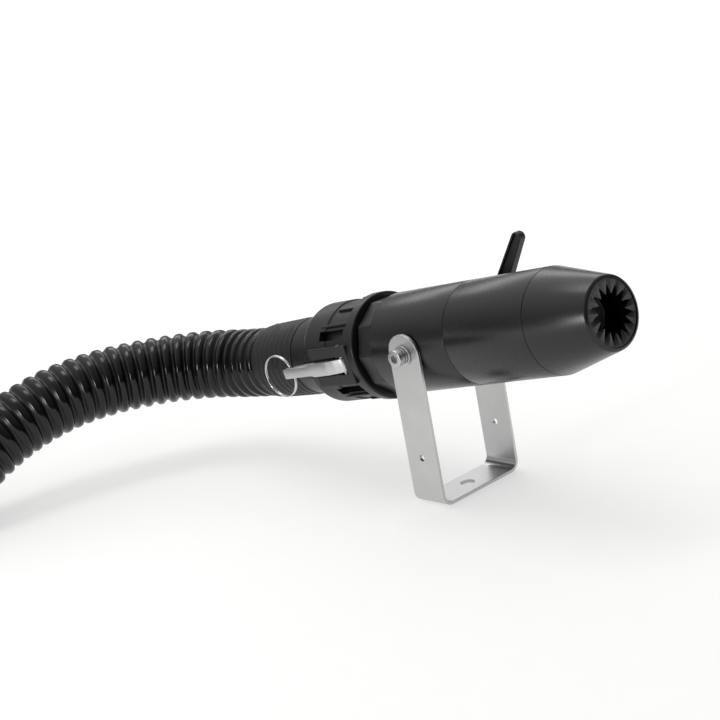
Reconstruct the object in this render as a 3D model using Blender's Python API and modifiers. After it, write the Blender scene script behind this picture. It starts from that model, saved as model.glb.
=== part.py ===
# Remote head of a snow machine: a tubular foam nozzle on a U bracket, with its cam-lock
# coupler and the ribbed air hose that feeds it. Metres, +Z up, the nozzle points to +X and
# the side with the pivot screw is -Y. The origin is on the floor, under the head's middle.
import math

import bmesh
import bpy
from mathutils import Matrix, Vector

# Fits
seat = 0.0003
running = 0.00015
overlap = 0.0005

# Barrel: places along the nozzle's axis are counted from the pivot, forwards
barrel_diameter = 0.075
barrel_wall = 0.003
barrel_rear = -0.038
barrel_seam = 0.0416
barrel_front = 0.1206
spigot_length = 0.02
nose_length = 0.0484
nose_tip_diameter = 0.0524
nose_rim_round = 0.0025
rear_chamfer = 0.0008

# Star outlet
outlet_teeth = 15
outlet_tooth_radius = 0.0126
outlet_notch_radius = 0.0203
outlet_plate_radius = 0.0232
outlet_plate_thickness = 0.0035
outlet_recess = 0.0008
outlet_turn = 3.8

# Foam sock and what holds it
carrier_length = 0.019
carrier_flange = 0.003
sock_radius = 0.0249
sock_wall = 0.0012
sock_end = 0.147
band_width = 0.006
band_thickness = 0.0014
carrier_sleeve_wall = 0.0021
hub_radius = 0.0064
jet_radius = 0.0033
jet_orifice = 0.0012
jet_length = 0.03
spoke_width = 0.003
fluid_tube_radius = 0.003
fluid_tube_wall = 0.0009
fluid_tube_rear = -0.15

# Bracket
bracket_side_play = 0.0002
strap_width = 0.03
strap_thickness = 0.0025
strap_bend = 0.0085
pivot_height = 0.1154
pivot_hole_radius = 0.0043
base_hole_radius = 0.0055
side_hole_radius = 0.0025
side_hole_drop = 0.0787
head_pitch = 11.0

# Pivot hardware, M8
thread_radius = 0.004
insert_radius = 0.006
insert_flange_radius = 0.0075
insert_length = 0.0065
washer_radius = 0.0075
washer_thickness = 0.0016
spring_washer_radius = 0.0064
spring_washer_thickness = 0.0019
screw_head_radius = 0.0065
screw_head_height = 0.0075
screw_socket = 0.006
screw_socket_depth = 0.004
screw_reach = 0.0095

# Indexing clamp lever
lever_length = 0.082
lever_angle = 60.5
lever_lean = 3.0
lever_root_width = 0.0118
lever_tip_width = 0.0084
lever_arm_thickness = 0.0068
lever_groove_depth = 0.0018
lever_boss_radius = 0.0095
lever_boss_height = 0.0165
lever_hub_flange = 0.0016
lever_neck_radius = 0.006
lever_neck_height = 0.0034
lever_web = 0.0016
lever_spring_radius = 0.0036
lever_spring_wire = 0.0007
lever_spring_turns = 4
lever_spring_height = 0.0074
lever_screw_radius = 0.0019
lever_screw_head_radius = 0.0042
lever_screw_head_height = 0.002

# Adapter: the male half of the cam-lock joint, fixed in the barrel's rear
adapter_bore = 0.042
adapter_plug_radius = 0.0286
adapter_plug_length = 0.0485
adapter_groove_depth = 0.0028
adapter_groove_length = 0.013
collar_sides = 10
collar_radius = 0.037
collar_length = 0.0155
collar_turn = -20.3

# Coupler: the female half, with the hose tail
mouth_gap = 0.0015
mouth_radius = 0.0402
mouth_length = 0.009
body_waist_radius = 0.0368
body_bulge_radius = 0.038
body_waist_length = 0.0265
body_bulge_length = 0.0205
body_length = 0.087
body_shoulder_radius = 0.0295
gasket_thickness = 0.004
gasket_radial = 0.008
tail_radius = 0.0212
tail_wall = 0.0032
tail_length = 0.045
ear_gap = 0.014
ear_thickness = 0.008
ear_height = 0.0405
ear_front = 0.0065
ear_length = 0.0455
ear_step_from_front = 0.0125
ear_step = 0.0022
channel_depth = 0.0025
cam_slack = 0.002
window_length = 0.026
window_gap = 0.006
window_width = 0.0075
window_depth = 0.004
window_angle = 36.0
rib_angle = 47.5
rib_width = 0.0022
rib_height = 0.0396
rib_rear = 0.015
rib_root = 0.002
ear_root = 0.0015
coupler_edge = 0.001
shoulder_dip = 0.0008
shoulder_rim = 0.004
bore_taper_front = 0.01
bore_taper_rear = 0.02
tail_chamfer = 0.0015
tail_chamfer_length = 0.003
arm_turn = 3.0

# Cam arms
pin_radius = 0.002
pin_back = 0.0191
pin_height = 0.035
cam_reach = 0.008
cam_front = 0.0054
arm_width = 0.0104
arm_tail_width = 0.0078
arm_wide_length = 0.034
arm_length = 0.0713
arm_thickness = 0.005
arm_rise = 0.007
ring_hole_radius = 0.0018
ring_hole_from_tail = 0.0095
ring_radius = 0.0165
ring_wire = 0.002
ring_drop = 5.0

# Hose
hose_diameter = 0.055
hose_rib_depth = 0.003
hose_pitch = 0.0108
cuff_length = 0.0595
cuff_front_radius = 0.0298
cuff_rear_radius = 0.0286
cuff_ribs = 6
cuff_rib_height = 0.0005
floor_clearance = 0.0003
coil_radius = 0.332
coil_gap = 0.003
coil_turns = 2.25
coil_points = 24
coil_last_radius = 0.15
coil_run_in = 0.0175
end_plug_length = 0.05
end_collar_radius = 0.033
end_collar_length = 0.014

# Counts of flats on round pieces
fine = 40
medium = 28
coarse = 16

barrel_radius = barrel_diameter / 2
barrel_bore = barrel_radius - barrel_wall
nose_front = barrel_front + nose_length
nose_tip_radius = nose_tip_diameter / 2
leg_inner = barrel_radius + bracket_side_play
leg_outer = leg_inner + strap_thickness
collar_rear = barrel_rear - collar_length
plug_rear = collar_rear - adapter_plug_length
mouth_front = collar_rear - mouth_gap
mouth_rear = mouth_front - mouth_length
bulge_front = mouth_rear - body_waist_length
bulge_rear = bulge_front - body_bulge_length
body_rear = mouth_front - body_length
cuff_front = body_rear - seat
cuff_rear = cuff_front - cuff_length
hose_start = body_rear - 3 * seat
hose_radius = hose_diameter / 2
pin_at = mouth_front - pin_back
ear_front_end = mouth_front - ear_front

parts = bpy.data.collections.new("snow_machine_head")
cutters = bpy.data.collections.new("cutters")


def clear_scene():
    for item in list(bpy.data.objects):
        bpy.data.objects.remove(item, do_unlink=True)
    bpy.context.scene.collection.children.link(parts)
    bpy.context.scene.collection.children.link(cutters)


def finish(name, look):
    """A piece's own material, from its colour (linear), roughness and metallic value."""
    colour, roughness, metallic = look
    made = bpy.data.materials.new(name + "_finish")
    made.use_nodes = True
    shader = made.node_tree.nodes["Principled BSDF"]
    shader.inputs["Base Color"].default_value = (*colour, 1.0)
    shader.inputs["Roughness"].default_value = roughness
    shader.inputs["Metallic"].default_value = metallic
    return made


def frame_at(name, place, parent=None, turn=(0.0, 0.0, 0.0)):
    """An empty that carries the pieces of one body or one assembly."""
    empty = bpy.data.objects.new(name, None)
    empty.location = place
    empty.rotation_euler = [math.radians(angle) for angle in turn]
    empty.parent = parent
    parts.objects.link(empty)
    return empty


def place(name, mesh, look, parent, matrix=None):
    item = bpy.data.objects.new(name, mesh)
    if matrix is not None:
        mesh.transform(matrix)
    if look is not None:
        mesh.materials.clear()
        mesh.materials.append(finish(name, look))
    item.parent = parent
    parts.objects.link(item)
    return item


def smooth(item, angle=35.0):
    item.data.shade_smooth()
    item.data.set_sharp_from_angle(angle=math.radians(angle))
    return item


def as_cutter(item):
    parts.objects.unlink(item)
    cutters.objects.link(item)
    item.hide_render = True
    item.display_type = "WIRE"
    return item


def boolean(item, other, operation="DIFFERENCE"):
    step = item.modifiers.new(operation.lower(), "BOOLEAN")
    step.operation = operation
    step.solver = "EXACT"
    step.object = as_cutter(other)
    return item


# Along the nozzle's axis, and across it: local Z of a turned piece goes to +X or +Y
along_x = Matrix.Rotation(math.radians(90), 4, "Y")
along_y = Matrix.Rotation(math.radians(-90), 4, "X")


def turned_mesh(name, profile, steps):
    """A closed outline of (radius, height) points turned about Z with a Screw modifier."""
    turn = sum(a[0] * b[1] - b[0] * a[1] for a, b in zip(profile, profile[1:] + profile[:1]))
    points = profile if turn < 0 else profile[::-1]
    mesh = bpy.data.meshes.new(name)
    count = len(points)
    edges = [(i, (i + 1) % count) for i in range(count)]
    mesh.from_pydata([(radius, 0.0, height) for radius, height in points], edges, [])
    holder = bpy.data.objects.new(name, mesh)
    bpy.context.scene.collection.objects.link(holder)
    screw = holder.modifiers.new("turn", "SCREW")
    screw.steps = steps
    screw.render_steps = steps
    screw.use_merge_vertices = True
    screw.merge_threshold = 0.00001
    result = bpy.data.meshes.new_from_object(holder.evaluated_get(bpy.context.evaluated_depsgraph_get()))
    bpy.data.objects.remove(holder, do_unlink=True)
    result.name = name
    return result


def turned(name, profile, look, parent, axis=along_x, steps=medium):
    return smooth(place(name, turned_mesh(name, profile, steps), look, parent, axis))


def drum(name, radius, low, high, parent, axis=along_x, steps=medium, look=None):
    """A plain cylinder between two places on its axis."""
    mesh = bpy.data.meshes.new(name)
    work = bmesh.new()
    bmesh.ops.create_cone(
        work,
        cap_ends=True,
        segments=steps,
        radius1=radius,
        radius2=radius,
        depth=high - low,
        matrix=Matrix.Translation((0, 0, (low + high) / 2)),
    )
    work.to_mesh(mesh)
    work.free()
    return place(name, mesh, look, parent, axis)


def box(name, low, high, parent, matrix=None, look=None):
    mesh = bpy.data.meshes.new(name)
    work = bmesh.new()
    size = [h - l for l, h in zip(low, high)]
    middle = [(h + l) / 2 for l, h in zip(low, high)]
    bmesh.ops.create_cube(work, size=1.0, matrix=Matrix.Translation(middle) @ Matrix.Diagonal((*size, 1.0)))
    work.to_mesh(mesh)
    work.free()
    return place(name, mesh, look, parent, matrix)


def plate(name, outlines, thickness, parent, matrix=None, look=None):
    """Flat outlines in XY, the first one outside and the others holes, with a thickness about Z."""
    curve = bpy.data.curves.new(name, "CURVE")
    curve.dimensions = "2D"
    curve.fill_mode = "BOTH"
    curve.extrude = thickness / 2
    for outline in outlines:
        spline = curve.splines.new("POLY")
        spline.points.add(len(outline) - 1)
        for point, (x, y) in zip(spline.points, outline):
            point.co = (x, y, 0.0, 1.0)
        spline.use_cyclic_u = True
    return curve_as_mesh(name, curve, parent, matrix, look)


def curve_as_mesh(name, curve, parent, matrix=None, look=None):
    holder = bpy.data.objects.new(name, curve)
    bpy.context.scene.collection.objects.link(holder)
    bpy.context.view_layer.update()
    mesh = bpy.data.meshes.new_from_object(holder.evaluated_get(bpy.context.evaluated_depsgraph_get()))
    bpy.data.objects.remove(holder, do_unlink=True)
    mesh.name = name
    work = bmesh.new()
    work.from_mesh(mesh)
    bmesh.ops.remove_doubles(work, verts=work.verts, dist=0.000005)
    bmesh.ops.recalc_face_normals(work, faces=work.faces)
    work.to_mesh(mesh)
    work.free()
    return place(name, mesh, look, parent, matrix)


def tube(name, points, radii, resolution, parent, look=None, tilt=0.0):
    """A tube along the points, with a radius at each one, closed at its ends. Tilt turns its flats."""
    curve = bpy.data.curves.new(name, "CURVE")
    curve.dimensions = "3D"
    curve.bevel_depth = 1.0
    curve.bevel_resolution = resolution
    curve.use_fill_caps = True
    curve.twist_mode = "Z_UP"
    spline = curve.splines.new("POLY")
    spline.points.add(len(points) - 1)
    for point, at, radius in zip(spline.points, points, radii):
        point.co = (*at, 1.0)
        point.radius = radius
        point.tilt = math.radians(tilt)
    return curve_as_mesh(name, curve, parent, None, look)


def arc(centre, radius, start, end, count):
    """Points of an arc, with angles in degrees."""
    step = math.radians(end - start) / (count - 1)
    angles = [math.radians(start) + step * i for i in range(count)]
    return [(centre[0] + radius * math.cos(a), centre[1] + radius * math.sin(a)) for a in angles]


def ring_profile(inner, outer, low, high):
    return [(outer, high), (outer, low), (inner, low), (inner, high)]


def make_barrel(head, black):
    spigot_outer = barrel_bore - seat
    spigot_inner = spigot_outer - barrel_wall
    rear = [
        (barrel_radius - rear_chamfer, barrel_rear + seat),
        (barrel_radius, barrel_rear + seat + rear_chamfer),
        (barrel_radius, barrel_seam - rear_chamfer / 2),
        (barrel_radius - rear_chamfer / 2, barrel_seam),
        (spigot_outer, barrel_seam),
        (spigot_outer, barrel_seam + spigot_length),
        (spigot_inner, barrel_seam + spigot_length),
        (spigot_inner, barrel_seam - barrel_wall),
        (barrel_bore, barrel_seam - 2 * barrel_wall),
        (barrel_bore, barrel_rear + seat),
    ]
    sleeve = turned("barrel_rear", rear, black, head, steps=fine)
    boolean(sleeve, drum("insert_hole", insert_radius + seat, -barrel_radius * 1.1, barrel_radius * 1.1,
                         head, along_y, coarse))
    front = [
        (barrel_radius - rear_chamfer / 2, barrel_seam + seat),
        (barrel_radius, barrel_seam + seat + rear_chamfer / 2),
        (barrel_radius, barrel_front),
        (barrel_bore, barrel_front),
        (barrel_bore, barrel_seam + seat),
    ]
    turned("barrel_front", front, black, head, steps=fine)


def make_nose(head, black):
    plate_back = nose_front - outlet_recess - outlet_plate_thickness
    pocket = outlet_plate_radius + seat
    spigot_outer = barrel_bore - seat
    spigot_inner = spigot_outer - barrel_wall
    throat = outlet_notch_radius + seat
    rim = arc((nose_tip_radius - nose_rim_round, nose_front - nose_rim_round), nose_rim_round, 12, 90, 5)
    outline = [
        (barrel_radius, barrel_front + seat),
        *rim,
        (pocket, nose_front),
        (pocket, plate_back - seat),
        (throat, plate_back - seat),
        (spigot_inner, barrel_front - spigot_length / 2),
        (spigot_inner, barrel_front - spigot_length),
        (spigot_outer, barrel_front - spigot_length),
        (spigot_outer, barrel_front + seat),
    ]
    turned("nose_cone", outline, black, head, steps=fine)
    # The star: pointed notches between pointed teeth, cut in a round plate
    edge = arc((0, 0), outlet_plate_radius, 0, 360 - 360 / fine, fine)
    star = []
    for index in range(2 * outlet_teeth):
        radius = outlet_tooth_radius if index % 2 else outlet_notch_radius
        angle = math.pi * index / outlet_teeth + math.radians(outlet_turn)
        star.append((radius * math.cos(angle), radius * math.sin(angle)))
    # A plate lies in XY, so its thickness goes along the nozzle's axis
    lay = Matrix.Translation((plate_back + outlet_plate_thickness / 2, 0, 0)) @ along_x
    plate("outlet_plate", [edge, star], outlet_plate_thickness, head, lay, black)


def make_sock(head, mesh, black, steel, clear):
    """The fabric sock that turns fluid and air to flakes, its carrier, and the spray jet."""
    start = barrel_seam + spigot_length + seat
    flange_outer = barrel_bore - seat
    sleeve_outer = sock_radius - sock_wall - seat
    sleeve_inner = sleeve_outer - carrier_sleeve_wall
    sleeve_front = start + carrier_length
    carrier = turned("sock_carrier", [
        (flange_outer, start),
        (flange_outer, start + carrier_flange),
        (sleeve_outer, start + carrier_flange),
        (sleeve_outer, sleeve_front),
        (sleeve_inner, sleeve_front),
        (sleeve_inner, start),
    ], black, head, steps=medium)
    spoke_end = start + carrier_flange * 2
    for index in range(3):
        spoke = box("spoke", (start, -spoke_width / 2, 0), (spoke_end, spoke_width / 2, sleeve_inner + overlap),
                    head, Matrix.Rotation(math.tau * index / 3, 4, "X"))
        boolean(carrier, spoke, "UNION")
    boolean(carrier, drum("hub", hub_radius, start - carrier_flange, spoke_end, head, along_x, coarse), "UNION")
    boolean(carrier, drum("hub_bore", jet_radius + seat, start - 0.02, spoke_end + 0.02, head, along_x, coarse))
    # The sock is a thimble over the carrier's sleeve, closed in front
    taper = sock_radius * 0.76
    skin = [
        (sock_radius, start + carrier_flange + seat),
        (sock_radius, sock_end - sock_radius * 1.3),
        *arc((taper - 0.006, sock_end - 0.006), 0.006, 10, 90, 4),
        (0.0, sock_end),
        (0.0, sock_end - sock_wall),
        *arc((taper - 0.006, sock_end - 0.006), 0.006 - sock_wall, 90, 10, 4),
        (sock_radius - sock_wall, sock_end - sock_radius * 1.3),
        (sock_radius - sock_wall, start + carrier_flange + seat),
    ]
    turned("foam_sock", skin, mesh, head, steps=medium)
    band_start = start + carrier_flange + 0.005
    turned("sock_band", ring_profile(sock_radius + seat, sock_radius + seat + band_thickness,
                                     band_start, band_start + band_width), steel, head)
    jet_rear = start - carrier_flange - 0.004
    barb = fluid_tube_radius - fluid_tube_wall - seat
    turned("spray_jet", [
        (barb, jet_rear - 0.008),
        (barb, jet_rear),
        (jet_radius * 1.6, jet_rear),
        (jet_radius * 1.6, start - carrier_flange - seat),
        (jet_radius, start - carrier_flange - seat),
        (jet_radius, jet_rear + jet_length - 0.004),
        (jet_orifice * 2, jet_rear + jet_length),
        (jet_orifice, jet_rear + jet_length),
        (jet_orifice, jet_rear - 0.008),
    ], steel, head, steps=coarse)
    tube_bore = fluid_tube_radius - fluid_tube_wall
    turned("fluid_tube", ring_profile(tube_bore, fluid_tube_radius, fluid_tube_rear, jet_rear - seat),
           clear, head, steps=coarse)


def plug_profile(front, length, bore, spigot=None):
    """The grooved plug of a cam-lock joint, from its front at the collar to its rear end."""
    rear = front - length
    groove_mid = mouth_front - pin_back - collar_rear + front
    depth = adapter_groove_depth
    half = adapter_groove_length / 2
    radius = adapter_plug_radius
    swing = (half * half + depth * depth) / (2 * depth)
    centre = (radius - depth + swing, groove_mid)
    span = math.degrees(math.asin(half / swing))
    groove = arc(centre, swing, 180 - span, 180 + span, 5)
    return [
        (radius, front),
        *groove,
        (radius, rear + 0.0015),
        (radius - 0.0015, rear),
        (bore, rear),
        (bore, front),
    ]


def make_adapter(head, black):
    """The male plug, with its wrench collar and the spigot that closes the barrel's rear."""
    bore = adapter_bore / 2
    plug = turned("adapter", plug_profile(collar_rear + overlap, adapter_plug_length + overlap, bore),
                  black, head, steps=medium)
    spigot = turned("spigot", ring_profile(bore, barrel_bore - seat, barrel_rear - overlap,
                                           barrel_rear + spigot_length), None, head, steps=medium)
    boolean(plug, spigot, "UNION")
    turn = Matrix.Rotation(math.radians(90 + collar_turn), 4, "X")
    collar = drum("collar", collar_radius, collar_rear, barrel_rear, head, turn @ along_x, collar_sides)
    bored = drum("collar_bore", bore + overlap / 5, collar_rear - 0.01, barrel_rear + 0.01, head, along_x, medium)
    boolean(collar, bored)
    boolean(plug, collar, "UNION")


def coupler_side(body, side_frame):
    """Ears, slot, windows and ribs of one side, in a frame whose +Z is the way out of that side."""
    inner = ear_gap / 2
    outer = inner + ear_thickness
    upright = Matrix.Rotation(math.radians(90), 4, "X")
    root = adapter_plug_radius + 2 * seat + ear_root
    ear_rear = ear_front_end - ear_length
    step = ear_front_end - ear_step_from_front
    low_top = ear_height - ear_step
    ears = [
        (ear_rear, root),
        (ear_front_end, root),
        (ear_front_end, ear_height),
        (step, ear_height),
        (step - ear_step, low_top),
        (ear_rear, low_top),
    ]
    boolean(body, plate("ears", [ears], 2 * outer, side_frame, upright), "UNION")
    for sign in (-1, 1):
        rib = Matrix.Rotation(math.radians(sign * rib_angle), 4, "X")
        boolean(body, box("rib", (bulge_rear + rib_rear, -rib_width / 2, root + rib_root),
                          (mouth_rear + overlap, rib_width / 2, rib_height), side_frame, rib), "UNION")
        window = Matrix.Rotation(math.radians(sign * window_angle), 4, "X")
        window_front = mouth_rear - window_gap
        boolean(body, box("window", (window_front - window_length, -window_width / 2,
                                     body_bulge_radius - window_depth),
                          (window_front, window_width / 2, body_bulge_radius * 1.3), side_frame, window))
    # The cam works through a slot in the wall, and the arm lies in a shallow channel behind it
    slot_front = pin_at + cam_reach
    slot_rear = pin_at - cam_reach - cam_slack
    channel = body_bulge_radius - channel_depth
    channel_rear = bulge_rear - (body_bulge_radius - body_shoulder_radius)
    slot = [
        (slot_front, adapter_bore / 2),
        (slot_front, mouth_radius * 1.3),
        (channel_rear, mouth_radius * 1.3),
        (channel_rear, channel),
        (slot_rear, channel),
        (slot_rear, adapter_bore / 2),
    ]
    boolean(body, plate("arm_slot", [slot], ear_gap, side_frame, upright))
    hole = drum("pin_hole", pin_radius + running, -outer - 0.01, outer + 0.01, side_frame, along_y, coarse)
    hole.location = (pin_at, 0, pin_height)
    boolean(body, hole)


def side_frames(head):
    """Frames for the near and the far cam arm: +Z leaves the coupler, +X is the nozzle's axis."""
    near = frame_at("arm_side_near", (0, 0, 0), head, (90 + arm_turn, 0, 0))
    far = frame_at("arm_side_far", (0, 0, 0), head, (-90 + arm_turn, 0, 0))
    return {"near": near, "far": far}


def make_coupler(head, sides, black, rubber):
    bore = adapter_bore / 2
    mouth_bore = adapter_plug_radius + 2 * seat
    gasket_seat = plug_rear - seat
    tail_end = body_rear - tail_length
    tail_bore = tail_radius - tail_wall
    edge = coupler_edge
    shoulder = arc((body_shoulder_radius, bulge_rear - shoulder_dip), body_bulge_radius - body_shoulder_radius, 0, -75, 5)
    outline = [
        (mouth_bore, mouth_front),
        (mouth_radius - edge, mouth_front),
        (mouth_radius, mouth_front - edge),
        (mouth_radius, mouth_rear + edge),
        (mouth_radius - edge, mouth_rear),
        (body_waist_radius, mouth_rear),
        (body_waist_radius, bulge_front + edge),
        (body_bulge_radius, bulge_front),
        (body_bulge_radius, bulge_rear),
        *shoulder[1:],
        (body_shoulder_radius, body_rear + shoulder_rim),
        (body_shoulder_radius, body_rear),
        (tail_radius, body_rear),
        (tail_radius, tail_end + tail_chamfer_length),
        (tail_radius - tail_chamfer, tail_end),
        (tail_bore, tail_end),
        (tail_bore, body_rear + bore_taper_rear),
        (bore, gasket_seat - gasket_thickness - bore_taper_front),
        (bore, gasket_seat - gasket_thickness - seat),
        (mouth_bore, gasket_seat - gasket_thickness - seat),
    ]
    body = turned("coupler_body", outline, black, head, steps=medium)
    for frame in sides.values():
        coupler_side(body, frame)
    turned("coupler_gasket", ring_profile(mouth_bore - seat - gasket_radial, mouth_bore - seat,
                                          gasket_seat - gasket_thickness, gasket_seat), rubber, head)


def make_arm(tag, side, steel):
    """One cam arm with its pin and pull ring. The arm's frame has its origin on the pin."""
    pin_frame = frame_at("pin_frame_" + tag, (pin_at, 0, pin_height), side)
    back = cam_front - arm_length
    level = arm_rise
    under = level - arm_thickness
    lobe = arc((0, 0), cam_front, 75, 0, 5)
    belly = [
        (cam_front * 0.94, -cam_front * 0.55),
        (cam_front * 0.55, -cam_reach * 0.9),
        (0.0, -cam_reach),
        (-cam_front * 0.7, -cam_reach * 0.86),
        (-cam_front * 1.25, -cam_reach * 0.3),
        (-cam_front * 1.8, under * 0.3),
    ]
    outline = [
        *lobe,
        *belly,
        (-cam_front * 3.2, under),
        (back, under),
        (back, level),
        (-cam_front * 3.2, level),
        (-cam_front * 1.2, cam_front + (level - cam_front) * 0.55),
    ]
    upright = Matrix.Rotation(math.radians(90), 4, "X")
    arm = plate("cam_arm_" + tag, [outline], arm_width, pin_frame, upright, steel)
    half = arm_width / 2
    tail = arm_tail_width / 2
    wide_end = cam_front - arm_wide_length
    corner = 0.0025
    plan = [
        (cam_front + 0.001, -half - 0.001),
        (cam_front + 0.001, half + 0.001),
        (wide_end, half + 0.001),
        (wide_end - 0.003, tail),
        (back + corner, tail),
        *arc((back + corner, tail - corner), corner, 90, 180, 3)[1:],
        *arc((back + corner, corner - tail), corner, 180, 270, 3),
        (wide_end - 0.003, -tail),
        (wide_end, -half - 0.001),
    ]
    boolean(arm, plate("arm_plan", [plan], 0.05, pin_frame), "INTERSECT")
    boolean(arm, drum("arm_bore", pin_radius + 2 * running, -0.02, 0.02, pin_frame, along_y, coarse))
    hole_at = back + ring_hole_from_tail
    middle = level - arm_thickness / 2
    ring_hole = drum("ring_hole", ring_hole_radius, -arm_width, arm_width, pin_frame, along_y, coarse)
    ring_hole.location = (hole_at, 0, middle)
    boolean(arm, ring_hole)
    outer = ear_gap / 2 + ear_thickness
    drum("cam_pin_" + tag, pin_radius, -outer, outer, pin_frame, along_y, coarse, steel)
    ring_frame = frame_at("ring_frame_" + tag, (hole_at, 0, middle), pin_frame)
    # The hole runs across the arm, so the ring lies flat in the arm's plane, a little lower at its back
    sign = 1 if tag == "near" else -1
    lean = Matrix.Rotation(math.radians(sign * ring_drop), 4, "Z")
    mesh = bpy.data.meshes.new("pull_ring_" + tag)
    mesh.from_pydata(*torus_cage(ring_radius, ring_wire / 2, 24, 6))
    sag = (arm_tail_width / 2) ** 2 / (4 * ring_radius)
    mesh.transform(lean @ Matrix.Translation((sag - ring_radius, 0, 0)))
    smooth(place("pull_ring_" + tag, mesh, steel, ring_frame), 180)
    return pin_frame


def torus_cage(major, minor, around, section):
    """Points and faces of a ring: the section circle carried round the major circle."""
    points = []
    for i in range(around):
        turn = math.tau * i / around
        for j in range(section):
            tip = math.tau * j / section
            reach = major + minor * math.cos(tip)
            points.append((reach * math.cos(turn), reach * math.sin(turn), minor * math.sin(tip)))
    faces = []
    for i in range(around):
        after = (i + 1) % around
        for j in range(section):
            beside = (j + 1) % section
            faces.append((i * section + j, after * section + j, after * section + beside, i * section + beside))
    return points, [], faces


def make_bracket(tilt, steel):
    """A bent strap: its side view is cut to a U, its front view to rounded legs."""
    outer = leg_outer
    inner = leg_inner
    low = -pivot_height
    bend = strap_bend
    tip = strap_width / 2
    top = tip + 0.001
    inside = bend - strap_thickness
    wall = [
        (outer, top),
        *arc((outer - bend, low + bend), bend, 0, -90, 6),
        *arc((bend - outer, low + bend), bend, -90, -180, 6),
        (-outer, top),
        (-inner, top),
        *arc((bend - outer, low + bend), inside, 180, 270, 6),
        *arc((outer - bend, low + bend), inside, -90, 0, 6),
        (inner, top),
    ]
    # Plate XY goes to the bracket's YZ
    stand = Matrix(((0, 0, 1, 0), (1, 0, 0, 0), (0, 1, 0, 0), (0, 0, 0, 1)))
    strap = plate("bracket", [wall], strap_width, tilt, stand, steel)
    side_view = [(-tip, low - 0.001), (tip, low - 0.001), *arc((0, 0), tip, 0, 180, 17)]
    boolean(strap, plate("leg_view", [side_view], outer * 3, tilt, Matrix.Rotation(math.radians(90), 4, "X")),
            "INTERSECT")
    boolean(strap, drum("pivot_hole", pivot_hole_radius, -outer * 2, outer * 2, tilt, along_y, coarse))
    side_hole = drum("side_hole", side_hole_radius, -outer * 2, outer * 2, tilt, along_y, coarse)
    side_hole.location = (0, 0, -side_hole_drop)
    boolean(strap, side_hole)
    boolean(strap, drum("base_hole", base_hole_radius, low - 0.01, low + 0.01, tilt, Matrix.Identity(4), coarse))
    return strap


def make_pivot_hardware(head, steel, brass):
    """Inserts in the barrel's wall on both sides, and the near side's screw with its washers."""
    bore = thread_radius + running
    deep = barrel_bore - 0.0012
    for tag, sign in (("near", -1), ("far", 1)):
        outline = [
            (insert_radius, sign * (barrel_radius - seat)),
            (insert_radius, sign * (deep - 0.0003)),
            (insert_flange_radius, sign * (deep - 0.0003)),
            (insert_flange_radius, sign * (deep - 0.0018)),
            (insert_radius * 0.9, sign * (deep - 0.0018)),
            (insert_radius * 0.9, sign * (deep - insert_length)),
            (bore, sign * (deep - insert_length)),
            (bore, sign * (barrel_radius - seat)),
        ]
        turned("pivot_insert_" + tag, outline, brass, head, along_y, coarse)
    washer_top = leg_outer + seat + washer_thickness
    spring_top = washer_top + seat + spring_washer_thickness
    head_seat = spring_top + seat
    turned("flat_washer", ring_profile(bore, washer_radius, -washer_top, -leg_outer - seat),
           steel, head, along_y, coarse)
    ring = turned("spring_washer", ring_profile(bore, spring_washer_radius, -spring_top, -washer_top - seat),
                  steel, head, along_y, coarse)
    slit = box("slit", (-0.0005, -spring_top - 0.01, 0.0), (0.0005, -washer_top + 0.01, washer_radius * 2), head,
               Matrix.Rotation(math.radians(25), 4, "Y"))
    boolean(ring, slit)
    screw = turned("pivot_screw", [
        (0.0, -head_seat - screw_head_height),
        (screw_head_radius - 0.0005, -head_seat - screw_head_height),
        (screw_head_radius, -head_seat - screw_head_height + 0.0005),
        (screw_head_radius, -head_seat),
        (thread_radius, -head_seat),
        (thread_radius, -barrel_radius + screw_reach),
        (0.0, -barrel_radius + screw_reach),
    ], steel, head, along_y, coarse)
    socket = drum("socket", screw_socket / math.sqrt(3), -head_seat - screw_head_height - 0.001,
                  -head_seat - screw_head_height + screw_socket_depth, head, along_y, 6)
    boolean(screw, socket)


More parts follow.
